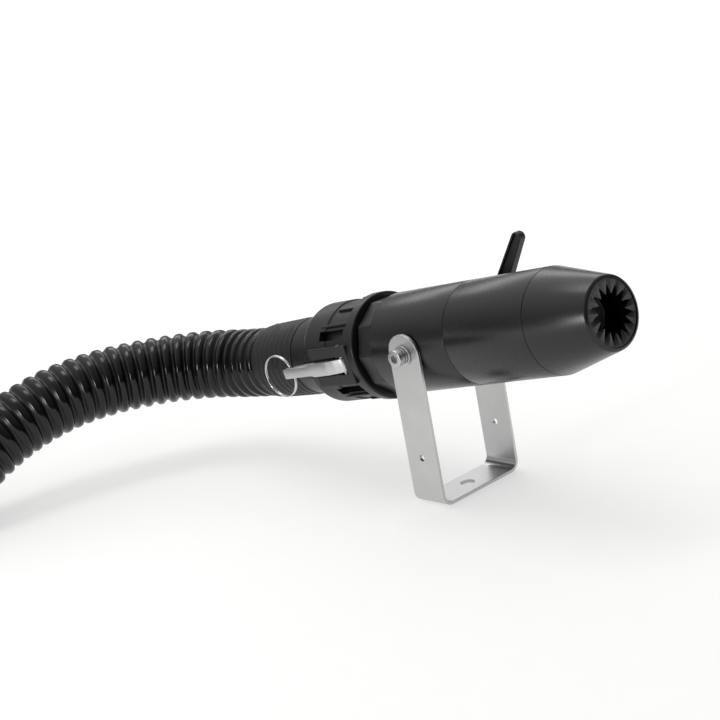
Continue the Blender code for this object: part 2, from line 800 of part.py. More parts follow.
def make_lever(head, black, steel):
    """The far side's clamp lever: a threaded hub, and a handle that lifts off its teeth to be re-set."""
    base = leg_outer + seat
    washer_top = base + washer_thickness
    turned("lever_washer", ring_profile(thread_radius + running, washer_radius, base, washer_top),
           steel, head, along_y, coarse)
    hub_low = washer_top + seat
    flange_top = hub_low + lever_hub_flange
    neck_top = flange_top + lever_neck_height
    stud_end = barrel_radius - screw_reach
    hub = turned("lever_hub", [
        (0.0, stud_end),
        (thread_radius, stud_end),
        (thread_radius, hub_low),
        (lever_boss_radius * 0.86, hub_low),
        (lever_boss_radius * 0.86, flange_top),
        (lever_neck_radius, flange_top),
        (lever_neck_radius, neck_top),
        (lever_screw_radius + running, neck_top),
        (lever_screw_radius + running, hub_low + 0.001),
        (0.0, hub_low + 0.001),
    ], steel, head, along_y, coarse)
    teeth = 8
    for index in range(teeth):
        notch = Matrix.Rotation(math.tau * index / teeth, 4, "Y")
        boolean(hub, box("tooth_gap", (lever_neck_radius - 0.0006, flange_top, -0.0005),
                         (lever_neck_radius + 0.001, neck_top + 0.001, 0.0005), head, notch))
    boss_low = flange_top + seat
    web_low = neck_top + seat
    web_top = web_low + lever_web
    boss_top = boss_low + lever_boss_height
    socket_radius = lever_neck_radius + seat
    pocket_radius = lever_screw_head_radius + seat
    handle_frame = frame_at("lever_frame", (0, 0, 0), head)
    handle = turned("lever_handle", [
        (lever_boss_radius, boss_low),
        (lever_boss_radius, boss_top - 0.0015),
        (lever_boss_radius - 0.0015, boss_top),
        (pocket_radius, boss_top),
        (pocket_radius, web_top),
        (lever_screw_radius + seat, web_top),
        (lever_screw_radius + seat, web_low),
        (socket_radius, web_low),
        (socket_radius, boss_low),
    ], black, handle_frame, along_y, 20)
    arm_middle = boss_low + seat + lever_arm_thickness / 2
    arm_frame = frame_at("lever_arm_frame", (0, arm_middle, 0), handle_frame,
                         (0, head_pitch - lever_angle, 0))
    lean = Matrix.Rotation(math.radians(lever_lean), 4, "Z")
    root = lever_boss_radius - 0.0012
    tip_half = lever_tip_width / 2
    tip_centre = lever_length - tip_half
    blade = [
        (root, -lever_root_width / 2),
        *arc((tip_centre, 0), tip_half, -80, 80, 7),
        (root, lever_root_width / 2),
    ]
    flat = Matrix.Rotation(math.radians(90), 4, "X")
    arm = plate("lever_arm", [blade], lever_arm_thickness, arm_frame, lean @ flat)
    inset = 0.0026
    groove = [
        (root + 0.006, -lever_root_width / 2 + inset),
        (tip_centre, -tip_half + inset),
        (tip_centre, tip_half - inset),
        (root + 0.006, lever_root_width / 2 - inset),
    ]
    for sign in (-1, 1):
        offset = Matrix.Translation((0, sign * lever_arm_thickness / 2, 0))
        boolean(arm, plate("lever_groove", [groove], 2 * lever_groove_depth, arm_frame, lean @ offset @ flat))
    boolean(handle, arm, "UNION")
    pin_low = hub_low + 0.0015
    screw_top = boss_top - 0.0008
    head_low = screw_top - lever_screw_head_height
    screw = turned("lever_screw", [
        (0.0, pin_low),
        (lever_screw_radius, pin_low),
        (lever_screw_radius, head_low),
        (lever_screw_head_radius, head_low),
        (lever_screw_head_radius, screw_top),
        (0.0, screw_top),
    ], steel, head, along_y, coarse)
    boolean(screw, drum("hex", 0.0014, screw_top - 0.0012, screw_top + 0.001, head, along_y, 6))
    # The spring stands between the handle's web and the screw's head
    wire = lever_spring_wire / 2
    spring_low = web_top + seat + wire
    spring_high = head_low - seat - wire
    per_turn = 8
    total = lever_spring_turns * per_turn
    coil = []
    for index in range(total + 1):
        turn = math.tau * index / per_turn
        height = spring_low + (spring_high - spring_low) * index / total
        coil.append((lever_spring_radius * math.cos(turn), height, lever_spring_radius * math.sin(turn)))
    tube("lever_spring", coil, [wire] * len(coil), 1, head, steel)


def make_cuff(name, front, rear, parent, rubber):
    """A rubber sleeve that grips the hose, wider at its front, with faint ribs."""
    bore = hose_radius + seat
    outline = [(cuff_front_radius, front)]
    span = front - rear
    for index in range(cuff_ribs):
        at = front - span * (0.12 + 0.76 * index / (cuff_ribs - 1))
        base = cuff_front_radius + (cuff_rear_radius - cuff_front_radius) * (front - at) / span
        outline += [(base + cuff_rib_height, at + span * 0.04), (base, at - span * 0.04)]
    outline += [(cuff_rear_radius, rear + 0.001), (cuff_rear_radius - 0.0006, rear), (bore, rear), (bore, front)]
    return turned(name, outline, rubber, parent, steps=medium)


def smooth_curve(points, per_piece=40):
    """A centripetal Catmull-Rom curve as a fine list of places. The first and last points only guide it."""
    path = []
    for a, b, c, d in zip(points, points[1:], points[2:], points[3:]):
        t0 = 0.0
        t1 = t0 + math.sqrt((b - a).length)
        t2 = t1 + math.sqrt((c - b).length)
        t3 = t2 + math.sqrt((d - c).length)
        for index in range(per_piece):
            t = t1 + (t2 - t1) * index / per_piece
            a1 = a * ((t1 - t) / (t1 - t0)) + b * ((t - t0) / (t1 - t0))
            a2 = b * ((t2 - t) / (t2 - t1)) + c * ((t - t1) / (t2 - t1))
            a3 = c * ((t3 - t) / (t3 - t2)) + d * ((t - t2) / (t3 - t2))
            b1 = a1 * ((t2 - t) / (t2 - t0)) + a2 * ((t - t0) / (t2 - t0))
            b2 = a2 * ((t3 - t) / (t3 - t1)) + a3 * ((t - t1) / (t3 - t1))
            path.append(b1 * ((t2 - t) / (t2 - t1)) + b2 * ((t - t1) / (t2 - t1)))
    path.append(points[-2])
    return path


def along(path, distances):
    """Places at the given distances along a fine path."""
    walked = [0.0]
    for a, b in zip(path, path[1:]):
        walked.append(walked[-1] + (b - a).length)
    found = []
    index = 0
    for distance in distances:
        while index < len(path) - 2 and walked[index + 1] < distance:
            index += 1
        share = (distance - walked[index]) / (walked[index + 1] - walked[index])
        found.append(path[index].lerp(path[index + 1], share))
    return found, walked[-1]


def axis_place(pivot, distance):
    """A place on the nozzle's axis in the world, counted forwards from the pivot."""
    pitch = math.radians(head_pitch)
    return pivot + Vector((math.cos(pitch), 0, math.sin(pitch))) * distance


def hose_route(pivot):
    """The free stretch: out of the cuff, round to the side, and down to the floor beside the coil."""
    start = axis_place(pivot, hose_start)
    bend_start = axis_place(pivot, hose_start - hose_diameter)
    floor = hose_radius + floor_clearance
    # Sideways places are counted from the pivot, and heights from the floor
    bend = [
        (-0.2297, -0.0039, 0.0736),
        (-0.2501, -0.0119, 0.0739),
        (-0.2685, -0.0239, 0.0745),
        (-0.2841, -0.0399, 0.0755),
        (-0.2974, -0.0587, 0.0763),
        (-0.3081, -0.0779, 0.0768),
        (-0.3162, -0.0984, 0.0767),
        (-0.3225, -0.1194, 0.0752),
        (-0.3274, -0.1406, 0.0719),
        (-0.3315, -0.1616, 0.0668),
        (-0.3349, -0.1821, 0.0596),
        (-0.3382, -0.2018, 0.0503),
        (-0.3405, -0.2240, 0.0414),
        (-0.3422, -0.2480, 0.0344),
        (-0.3434, -0.2740, 0.0297),
    ]
    bend = [Vector((pivot.x + x, pivot.y + y, z)) for x, y, z in bend]
    side = pivot.x - 0.345
    landing = Vector((side, pivot.y - 0.2955, floor))
    level = Vector((side, pivot.y - 0.3145, floor))
    last = level - Vector((0, coil_run_in, 0))
    path = smooth_curve([start, bend_start, *bend, landing, level, last])
    return [start, *path, last]


def hose_pieces(pivot, pvc, rubber, black):
    """The ribbed free stretch, the flat spiral coil with the rest of the length, and the far end."""
    route = hose_route(pivot)
    total = along(route, [0.0])[1]
    ribs = round(total / hose_pitch)
    step = total / ribs / 2
    places = along(route, [step * index for index in range(2 * ribs + 1)])[0]
    radii = [hose_radius if index % 2 else hose_radius - hose_rib_depth for index in range(2 * ribs + 1)]
    free = tube("hose", places, radii, 2, None, pvc)
    bore_places = [places[0] * 2 - places[1], *places[::2], places[-1] * 2 - places[-2]]
    bore_radius = (tail_radius + seat) / math.cos(math.pi / 8)
    boolean(free, tube("hose_bore", bore_places, [bore_radius] * len(bore_places), 2, None))

    # The coil runs clockwise seen from above, and each turn lies inside the last one
    first = places[-1] + Vector((0, -seat, 0))
    floor = first.z
    centre = first + Vector((-coil_radius, -coil_run_in, 0))
    pitch = hose_diameter + coil_gap
    winding = [first]
    turned_steps = round(coil_turns * coil_points)
    for index in range(turned_steps + 1):
        turn = -math.tau * index / coil_points
        reach = coil_radius - pitch * index / coil_points
        winding.append(centre + Vector((reach * math.cos(turn), reach * math.sin(turn), 0)))
    # A tighter half turn brings the end across the middle, and lifts it to its collar's height
    end_height = end_collar_radius + floor_clearance
    heading = -math.tau * coil_turns
    out = Vector((math.cos(heading), math.sin(heading), 0))
    hub = winding[-1] - out * coil_last_radius
    half = coil_points // 2
    for index in range(1, half + 1):
        turn = heading - math.pi * index / half
        rise = (end_height - floor) * (1 - math.cos(math.pi * index / half)) / 2
        arm = Vector((math.cos(turn), math.sin(turn), 0)) * coil_last_radius
        winding.append(hub + arm + Vector((0, 0, rise)))
    run_out = Vector((math.sin(heading), -math.cos(heading), 0)) * -1
    winding.append(winding[-1] + run_out * (cuff_length + seat))
    # Its six-sided section stands on a corner, so that its lowest line is the hose's
    coil = tube("hose_coil", winding, [hose_radius] * len(winding), 1, None, pvc, 30.0)
    first_way = (winding[0] - winding[1]).normalized() * 0.01
    last_way = (winding[-1] - winding[-2]).normalized() * 0.01
    bore_winding = [winding[0] + first_way, *winding[1:-1], winding[-1] + last_way]
    bore_radius = (tail_radius + seat) / math.cos(math.pi / 6)
    boolean(coil, tube("coil_bore", bore_winding, [bore_radius] * len(bore_winding), 1, None, None, 30.0))
    report_hose(route, winding)
    make_hose_end(winding[-1], last_way, rubber, black)


def report_hose(route, winding):
    """Prints the hose's length, and the least gap between turns that lie side by side."""
    lengths = [along(route, [0.0])[1], along(winding, [0.0])[1]]
    fine_winding = along(winding, [lengths[1] * index / 1200 for index in range(1201)])[0]
    step = lengths[1] / 1200
    apart = round(2.5 * hose_diameter / step)
    least = min(
        (a - b).length
        for index, a in enumerate(fine_winding)
        for b in fine_winding[index + apart:]
    )
    print("hose length", round(sum(lengths), 3), "least gap in the coil", round(least - hose_diameter, 5))


def make_hose_end(end, way, rubber, black):
    """The far end: a cuff, and the male plug that goes in the air supply's coupler."""
    facing = math.degrees(math.atan2(-way.y, -way.x))
    frame = frame_at("hose_end_frame", end, None, (0, 0, facing))
    make_cuff("end_cuff", 0.0, cuff_length, frame, rubber)
    bore = tail_radius - tail_wall
    collar = -seat - end_collar_length
    turned("end_adapter", [
        (bore, tail_length),
        (tail_radius - tail_chamfer, tail_length),
        (tail_radius, tail_length - tail_chamfer_length),
        (tail_radius, -seat),
        (end_collar_radius, -seat),
        (end_collar_radius, collar),
        *plug_profile(collar, end_plug_length, adapter_bore / 2)[:-1],
        (adapter_bore / 2, bore_taper_front),
        (bore, bore_taper_rear),
    ], black, frame, steps=medium)


def main():
    clear_scene()
    satin_black = ((0.012, 0.012, 0.013), 0.32, 0.0)
    moulded_black = ((0.010, 0.010, 0.011), 0.42, 0.0)
    rubber = ((0.014, 0.014, 0.015), 0.62, 0.0)
    soft_pvc = ((0.008, 0.008, 0.009), 0.24, 0.0)
    bright_steel = ((0.62, 0.61, 0.59), 0.22, 1.0)
    brushed_steel = ((0.56, 0.55, 0.53), 0.30, 1.0)
    dark_steel = ((0.05, 0.05, 0.052), 0.36, 1.0)
    zinc_plate = ((0.48, 0.48, 0.49), 0.28, 1.0)
    brass = ((0.68, 0.50, 0.24), 0.30, 1.0)
    charcoal_mesh = ((0.020, 0.020, 0.021), 0.85, 0.0)
    clear_tube = ((0.55, 0.56, 0.55), 0.20, 0.0)

    # The origin lies under the middle of the head's box, so the pivot's place follows from its reach
    pitch = math.radians(head_pitch)
    rear_reach = -cuff_rear * math.cos(pitch) + cuff_rear_radius * math.sin(pitch)
    front_reach = nose_front * math.cos(pitch) + (nose_tip_radius - nose_rim_round) * math.sin(pitch)
    near_reach = leg_outer + 3 * seat + washer_thickness + spring_washer_thickness + screw_head_height
    far_reach = leg_outer + 3 * seat + washer_thickness + lever_hub_flange + lever_boss_height
    pivot = Vector(((rear_reach - front_reach) / 2, (near_reach - far_reach) / 2, pivot_height))

    head = frame_at("head", pivot, None, (0, -head_pitch, 0))
    tilt = frame_at("bracket_tilt", pivot)
    make_barrel(head, satin_black)
    make_nose(head, satin_black)
    make_sock(head, charcoal_mesh, moulded_black, brushed_steel, clear_tube)
    make_adapter(head, moulded_black)
    sides = side_frames(head)
    make_coupler(head, sides, moulded_black, rubber)
    for tag, side in sides.items():
        make_arm(tag, side, bright_steel)
    make_cuff("hose_cuff", cuff_front, cuff_rear, head, rubber)
    make_bracket(tilt, brushed_steel)
    make_pivot_hardware(head, zinc_plate, brass)
    make_lever(head, moulded_black, dark_steel)
    hose_pieces(pivot, soft_pvc, rubber, moulded_black)


main()
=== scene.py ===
# Looks of a snow machine head: a black nozzle on a brushed U bracket, with its cam-lever
# coupler, its cuff and its ribbed hose. Metres, +Z up, the nozzle points to +X.
import math

import bmesh
import bpy
import numpy as np
from mathutils import Matrix, Vector


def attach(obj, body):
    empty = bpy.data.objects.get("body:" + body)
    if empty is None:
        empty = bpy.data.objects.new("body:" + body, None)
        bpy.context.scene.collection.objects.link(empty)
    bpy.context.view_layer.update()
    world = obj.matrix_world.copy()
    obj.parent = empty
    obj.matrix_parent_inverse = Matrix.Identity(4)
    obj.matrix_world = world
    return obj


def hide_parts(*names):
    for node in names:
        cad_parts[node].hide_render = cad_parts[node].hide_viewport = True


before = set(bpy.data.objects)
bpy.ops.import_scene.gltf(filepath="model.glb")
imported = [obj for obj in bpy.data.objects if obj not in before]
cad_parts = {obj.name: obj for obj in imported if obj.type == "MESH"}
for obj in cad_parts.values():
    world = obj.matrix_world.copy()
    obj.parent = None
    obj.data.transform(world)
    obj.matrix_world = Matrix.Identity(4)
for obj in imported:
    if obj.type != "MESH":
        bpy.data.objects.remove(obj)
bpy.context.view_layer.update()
print("stage: the packed model is loaded")

# The head's own axes: along the nozzle, across it to the lever's side, and up from it
head = {
    "pivot": (0.016566, -0.00435, 0.1154),  # where the bracket's axis crosses the nozzle's
    "pitch": 11.0,  # degrees that the nozzle points up
    "couplerTurn": 3.0,  # degrees that the coupler is turned round the nozzle's axis
    "seat": 0.0003,  # the gap where two pieces meet
}
pivot = np.array(head["pivot"])
pitch = math.radians(head["pitch"])
seat = head["seat"]
headAxes = np.array([(math.cos(pitch), 0, math.sin(pitch)), (0, 1, 0),
                     (-math.sin(pitch), 0, math.cos(pitch))])


def turnedAxes(axes, degrees):
    # The second and third axes turned round the first one, by the right-hand rule
    angle = math.radians(degrees)
    second = math.cos(angle) * axes[1] + math.sin(angle) * axes[2]
    third = -math.sin(angle) * axes[1] + math.cos(angle) * axes[2]
    return np.array([axes[0], second, third])


# The third axis of these leaves the coupler's near and far side
sideAxes = {
    "near": turnedAxes(headAxes, 90 + head["couplerTurn"]),
    "far": turnedAxes(headAxes, -90 + head["couplerTurn"]),
}
acrossAxes = headAxes[[1, 2, 0]]  # for what is turned round the pivot's axis


def onAxes(points, axes=headAxes, origin=pivot):
    # A place in the row frame: the origin plus each coordinate times its axis
    return origin + np.asarray(points, float) @ axes


# Meshes: a shape is worked out as whole arrays, and goes into its mesh once


def makePiece(name, points, quads, caps=(), sharp=35.0):
    # Faces point outwards, and shading is smooth but for edges over the sharp angle
    mesh = bpy.data.meshes.new(name)
    mesh.from_pydata(points.tolist(), [], quads.tolist() + [list(cap) for cap in caps])
    work = bmesh.new()
    work.from_mesh(mesh)
    bmesh.ops.remove_doubles(work, verts=work.verts, dist=1e-7)
    bmesh.ops.recalc_face_normals(work, faces=work.faces)
    work.to_mesh(mesh)
    work.free()
    piece = bpy.data.objects.new(name, mesh)
    bpy.context.scene.collection.objects.link(piece)
    return shaded(piece, sharp)


def shaded(piece, sharp):
    piece.data.shade_smooth()
    piece.data.set_sharp_from_angle(angle=math.radians(sharp))
    return piece


def gridQuads(rows, columns, closeRows, closeColumns):
    # Four corners for each cell of a grid, which may join its last row or column to its first
    i = np.arange(rows if closeRows else rows - 1)[:, None]
    j = np.arange(columns if closeColumns else columns - 1)[None, :]
    nextI, nextJ = (i + 1) % rows, (j + 1) % columns
    cells = [i * columns + j, nextI * columns + j, nextI * columns + nextJ, i * columns + nextJ]
    return np.stack(np.broadcast_arrays(*cells), axis=-1).reshape(-1, 4)


def gridPiece(name, grid, closeRows=False, closeColumns=True, capEnds=False, sharp=35.0):
    # A surface of two parameters, given as rows of points
    rows, columns = grid.shape[:2]
    caps = []
    if capEnds:
        caps = [range(columns), range((rows - 1) * columns, rows * columns)]
    quads = gridQuads(rows, columns, closeRows, closeColumns)
    return makePiece(name, grid.reshape(-1, 3), quads, caps, sharp)


def rounded(corners, radius, count=4):
    # Each corner of a closed outline becomes an arc that touches both its sides. The arc starts
    # at radius / tan(half the angle) from the corner, and at most at 0.45 of the shorter side.
    corners = np.asarray(corners, float)
    radii = np.broadcast_to(np.asarray(radius, float), len(corners))
    result = []
    neighbours = np.roll(corners, 1, 0), corners, np.roll(corners, -1, 0)
    for before, corner, after, wanted in zip(*neighbours, radii):
        inward, outward = before - corner, after - corner
        lengths = np.linalg.norm(inward), np.linalg.norm(outward)
        inward, outward = inward / lengths[0], outward / lengths[1]
        half = math.acos(float(np.clip(inward @ outward, -1, 1))) / 2
        if wanted <= 0 or half > math.radians(87):
            result.append(corner[None])
            continue
        reach = min(wanted / math.tan(half), 0.45 * min(lengths))
        true = reach * math.tan(half)
        middle = (inward + outward) / np.linalg.norm(inward + outward)
        centre = corner + middle * true / math.sin(half)
        first, last = corner + inward * reach - centre, corner + outward * reach - centre
        start = math.atan2(first[1], first[0])
        sweep = (math.atan2(last[1], last[0]) - start + math.pi) % math.tau - math.pi
        angles = start + sweep * np.linspace(0, 1, count)
        result.append(centre + true * np.stack([np.cos(angles), np.sin(angles)], axis=1))
    return np.concatenate(result)


def arcPoints(centre, radius, start, end, count):
    # centre + radius * (cos, sin) of angles in degrees
    angles = np.radians(np.linspace(start, end, count))
    return np.asarray(centre) + radius * np.stack([np.cos(angles), np.sin(angles)], axis=1)


def turnedPiece(name, profile, steps=128, axes=headAxes, origin=pivot, closed=True, sharp=35.0):
    # A profile of (radius, place) carried round the first axis:
    # place * first + radius * (cos(turn) * second + sin(turn) * third)
    profile = np.asarray(profile, float)
    turn = np.linspace(0, math.tau, steps, endpoint=False)[:, None]
    radius, along = profile[None, :, 0], profile[None, :, 1]
    grid = np.stack([along + 0 * turn, radius * np.cos(turn), radius * np.sin(turn)], axis=-1)
    return gridPiece(name, onAxes(grid, axes, origin), closeRows=True, closeColumns=closed, sharp=sharp)


def slabPiece(name, outline, halfWidth, edge=0.0, axes=headAxes, origin=pivot, layers=4, sharp=35.0):
    # A closed outline in the first and third axes, carried across the second one. At each side
    # it draws in along a quarter circle: inset = edge * (1 - sin(a)), across = width - edge * (1 - cos(a)).
    outline = np.asarray(outline, float)
    side = np.roll(outline, -1, 0) - np.roll(outline, 1, 0)
    inward = np.stack([-side[:, 1], side[:, 0]], axis=1)
    inward /= np.linalg.norm(inward, axis=1)[:, None] + 1e-12
    following = np.roll(outline, -1, 0)
    area = np.sum(outline[:, 0] * following[:, 1] - following[:, 0] * outline[:, 1])
    inward *= np.sign(area)
    width = np.broadcast_to(np.asarray(halfWidth, float), len(outline))[None]
    steps = np.linspace(0, 90, layers) if edge else np.array([90.0])
    lean = np.radians(np.concatenate([steps, steps[::-1]]))[:, None]
    sign = np.repeat([-1.0, 1.0], len(steps))[:, None]
    across = sign * (width - edge * (1 - np.cos(lean))) if edge else sign * width
    inset = edge * (1 - np.sin(lean))
    grid = np.stack([outline[None, :, 0] + inset * inward[None, :, 0], across,
                     outline[None, :, 1] + inset * inward[None, :, 1]], axis=-1)
    return gridPiece(name, onAxes(grid, axes, origin), capEnds=True, sharp=sharp)


def finePoints(outline, spacing):
    # The same closed outline with more points on its sides, at most the spacing apart
    fine = []
    for point, following in zip(outline, np.roll(outline, -1, 0)):
        count = max(1, round(float(np.linalg.norm(following - point)) / spacing))
        fine.append(point + (following - point) * (np.arange(count) / count)[:, None])
    return np.concatenate(fine)


def joined(piece, tool, operation="DIFFERENCE", sharp=35.0):
    # Cuts a tool from a piece or adds it, and keeps only the result
    step = piece.modifiers.new("joined", "BOOLEAN")
    step.operation = operation
    step.solver = "EXACT"
    step.object = tool
    result = bpy.data.meshes.new_from_object(piece.evaluated_get(bpy.context.evaluated_depsgraph_get()))
    piece.modifiers.clear()
    piece.data = result
    bpy.data.objects.remove(tool, do_unlink=True)
    return shaded(piece, sharp)


def drilled(piece, radius, reach, steps, axes, origin=pivot, sharp=35.0):
    # Cuts a round hole along the first axis, from -reach to reach
    profile = [(0, -reach), (radius, -reach), (radius, reach), (0, reach)]
    return joined(piece, turnedPiece("drill", profile, steps, axes, origin, closed=False), sharp=sharp)


def eased(piece, width, segments=2, angle=50.0):
    # Rounds the edges that a cut left, and weighs the shading by face size so flat faces stay flat
    bevel = piece.modifiers.new("eased", "BEVEL")
    bevel.width = width
    bevel.segments = segments
    bevel.limit_method = "ANGLE"
    bevel.angle_limit = math.radians(angle)
    bevel.use_clamp_overlap = True
    bevel.miter_outer = "MITER_ARC"
    shading = piece.modifiers.new("shading", "WEIGHTED_NORMAL")
    shading.keep_sharp = True
    return piece


# Materials: one function adds a node, and each finish is made from the real one


def toLinear(code):
    # sRGB hex to linear light: a straight line below 0.04045, and a power of 2.4 above it
    channels = np.array([int(code[i:i + 2], 16) for i in (1, 3, 5)]) / 255
    linear = np.where(channels <= 0.04045, channels / 12.92, ((channels + 0.055) / 1.055) ** 2.4)
    return (*[float(value) for value in linear], 1.0)


def addNode(tree, kind, settings=None, links=None):
    node = tree.nodes.new(kind)
    for name, value in (settings or {}).items():
        if isinstance(name, str) and hasattr(node, name):
            setattr(node, name, value)
        else:
            node.inputs[name].default_value = value
    for name, source in (links or {}).items():
        tree.links.new(source, node.inputs[name])
    return node


def newFinish(name, colour, roughness, metallic=0.0, settings=None, turn=0.0):
    # A material, with Object coordinates turned about Y so that their first axis is the piece's own
    finish = bpy.data.materials.new(name)
    finish.use_nodes = True
    tree = finish.node_tree
    shader = tree.nodes["Principled BSDF"]
    constants = {"Base Color": toLinear(colour), "Roughness": roughness, "Metallic": metallic}
    for socket, value in (constants | (settings or {})).items():
        shader.inputs[socket].default_value = value
    coordinates = addNode(tree, "ShaderNodeTexCoord")
    mapping = addNode(tree, "ShaderNodeMapping", {"Rotation": (0, turn, 0)},
                      {"Vector": coordinates.outputs["Object"]})
    return finish, tree, shader, mapping.outputs["Vector"]


def addNoise(tree, flow, size, detail, roughness=0.5):
    # A noise whose features have this size in metres
    settings = {"Scale": 1 / size, "Detail": detail, "Roughness": roughness}
    return addNode(tree, "ShaderNodeTexNoise", settings, {"Vector": flow}).outputs["Fac"]


def addRange(tree, source, low, high, start=0.3, end=0.7):
    # Maps what lies between start and end onto low to high
    settings = {"From Min": start, "From Max": end, "To Min": low, "To Max": high}
    return addNode(tree, "ShaderNodeMapRange", settings, {"Value": source}).outputs["Result"]


def addTint(tree, shader, share, colour, other):
    # The base colour goes from one hex colour to the other with the share
    settings = {"data_type": "RGBA", 6: toLinear(colour), 7: toLinear(other)}
    tint = addNode(tree, "ShaderNodeMix", settings, {0: share})
    tree.links.new(tint.outputs[2], shader.inputs["Base Color"])


def addRelief(tree, shader, height, strength, depth):
    relief = addNode(tree, "ShaderNodeBump", {"Strength": strength, "Distance": depth}, {"Height": height})
    tree.links.new(relief.outputs["Normal"], shader.inputs["Normal"])


def multiplied(tree, first, second):
    return addNode(tree, "ShaderNodeMath", {"operation": "MULTIPLY"}, {0: first, 1: second}).outputs[0]


def blackAluminium():
    # Black anodised aluminium tube, turned and satin: deep black with broad soft highlights, and
    # turning lines round it. They are 0.3 mm apart on the real one, and drawn at 1.2 mm to show.
    finish, tree, shader, flow = newFinish("satinBlackAnodisedAluminium", "#0e0e0f", 0.27, turn=pitch,
                                           settings={"IOR": 1.48})
    split = addNode(tree, "ShaderNodeSeparateXYZ", links={"Vector": flow})
    turned = {"noise_dimensions": "1D", "Scale": 1 / 0.0012, "Detail": 2.0}
    lines = addNode(tree, "ShaderNodeTexNoise", turned, {"W": split.outputs["X"]}).outputs["Fac"]
    handling = addNoise(tree, flow, 0.028, 4.0, 0.6)
    rough = addRange(tree, multiplied(tree, lines, handling), 0.25, 0.31, 0.1, 0.42)
    tree.links.new(rough, shader.inputs["Roughness"])
    addTint(tree, shader, handling, "#0a0a0b", "#0f0f10")
    addRelief(tree, shader, lines, 0.03, 0.00002)
    return finish


def mouldedPolypropylene(name, colour, paler, grain, roughness):
    # Injection moulded polypropylene or nylon: a dull black with a fine spark-eroded grain, so its
    # highlights break up, and faint paler patches from handling. The grain is 0.3 mm, drawn coarser.
    finish, tree, shader, flow = newFinish(name, colour, roughness, settings={"IOR": 1.49})
    patches = addNoise(tree, flow, 0.017, 5.0)
    rough = addRange(tree, patches, roughness - 0.07, roughness + 0.09)
    tree.links.new(rough, shader.inputs["Roughness"])
    addTint(tree, shader, patches, colour, paler)
    addRelief(tree, shader, addNoise(tree, flow, grain, 3.0, 0.55), 0.35, 0.00012)
    return finish


def glossyPvc():
    # Plasticised PVC hose, extruded: wet-looking black with a sharp highlight on each crest, a
    # slightly uneven skin, and a thin dust film in the valleys, which the valley attribute carries.
    finish, tree, shader, flow = newFinish("glossyBlackPvcHose", "#050506", 0.17, settings={"IOR": 1.42})
    valley = addNode(tree, "ShaderNodeAttribute", {"attribute_name": "valley"}).outputs["Fac"]
    skin = addNoise(tree, flow, 0.006, 4.0, 0.6)
    wipe = addRange(tree, skin, 0.12, 0.22, 0.35, 0.7)
    rough = addNode(tree, "ShaderNodeMix", {"data_type": "FLOAT", 3: 0.36}, {0: valley, 2: wipe})
    tree.links.new(rough.outputs[0], shader.inputs["Roughness"])
    addTint(tree, shader, valley, "#050506", "#080809")
    addRelief(tree, shader, skin, 0.25, 0.00015)
    return finish


def cuffRubber():
    # Moulded rubber: matt black that turns grey where light grazes it, with a talc bloom in patches
    settings = {"IOR": 1.45, "Sheen Weight": 0.05, "Sheen Roughness": 0.5}
    finish, tree, shader, flow = newFinish("mattBlackRubber", "#0d0d0e", 0.5, 0.0, settings, pitch)
    bloom = addNoise(tree, flow, 0.011, 5.0, 0.65)
    tree.links.new(addRange(tree, bloom, 0.46, 0.66), shader.inputs["Roughness"])
    addTint(tree, shader, bloom, "#0b0b0c", "#111112")
    addRelief(tree, shader, addNoise(tree, flow, 0.0008, 2.0), 0.25, 0.0001)
    return finish


def bareMetal(name, colour, duller, roughness, spread, grain, bump, stretch=(1, 1, 1)):
    # A bare or plated metal: its grain is a noise stretched the way it was drawn, brushed or cast,
    # and the same noise varies its gloss. A larger one leaves duller patches, as handling does.
    finish, tree, shader, flow = newFinish(name, colour, roughness, 1.0)
    pulled = addNode(tree, "ShaderNodeMapping", {"Scale": stretch}, {"Vector": flow})
    streaks = addNoise(tree, pulled.outputs["Vector"], grain, 3.0, 0.6)
    rough = addRange(tree, streaks, roughness - spread, roughness + spread)
    tree.links.new(rough, shader.inputs["Roughness"])
    addTint(tree, shader, addNoise(tree, flow, 0.02, 4.0), colour, duller)
    addRelief(tree, shader, streaks, bump, 0.00005)
    return finish


def knittedPolyester():
    # Knitted polyester sleeve: charcoal yarn in rows of stitches 1.4 mm apart, matt, with gaps.
    # A wave texture repeats every tau / 20 of its scale.
    finish, tree, shader, _ = newFinish("charcoalKnittedPolyester", "#1d1d1f", 0.85,
                                        settings={"Sheen Weight": 0.3})
    knit = addNode(tree, "ShaderNodeUVMap", {"uv_map": "knit"})
    rows = {"Scale": math.tau / 0.0014 / 20, "Distortion": 0.6, "Detail": 1.0}
    waves = [addNode(tree, "ShaderNodeTexWave", {"bands_direction": direction, **rows},
                     {"Vector": knit.outputs["UV"]}) for direction in "XY"]
    stitches = multiplied(tree, *[wave.outputs["Fac"] for wave in waves])
    addTint(tree, shader, stitches, "#0d0d0e", "#29292b")
    addRelief(tree, shader, stitches, 0.8, 0.0005)
    return finish


def clearTubing():
    # Clear flexible tubing, slightly milky, with flow lines along it
    finish, tree, shader, flow = newFinish("milkyClearTubing", "#d4d8d6", 0.2, turn=pitch,
                                           settings={"IOR": 1.5, "Transmission Weight": 0.7})
    lines = addNode(tree, "ShaderNodeMapping", {"Scale": (0.05, 1, 1)}, {"Vector": flow})
    haze = addNoise(tree, lines.outputs["Vector"], 0.0015, 2.0)
    tree.links.new(addRange(tree, haze, 0.12, 0.3), shader.inputs["Roughness"])
    return finish


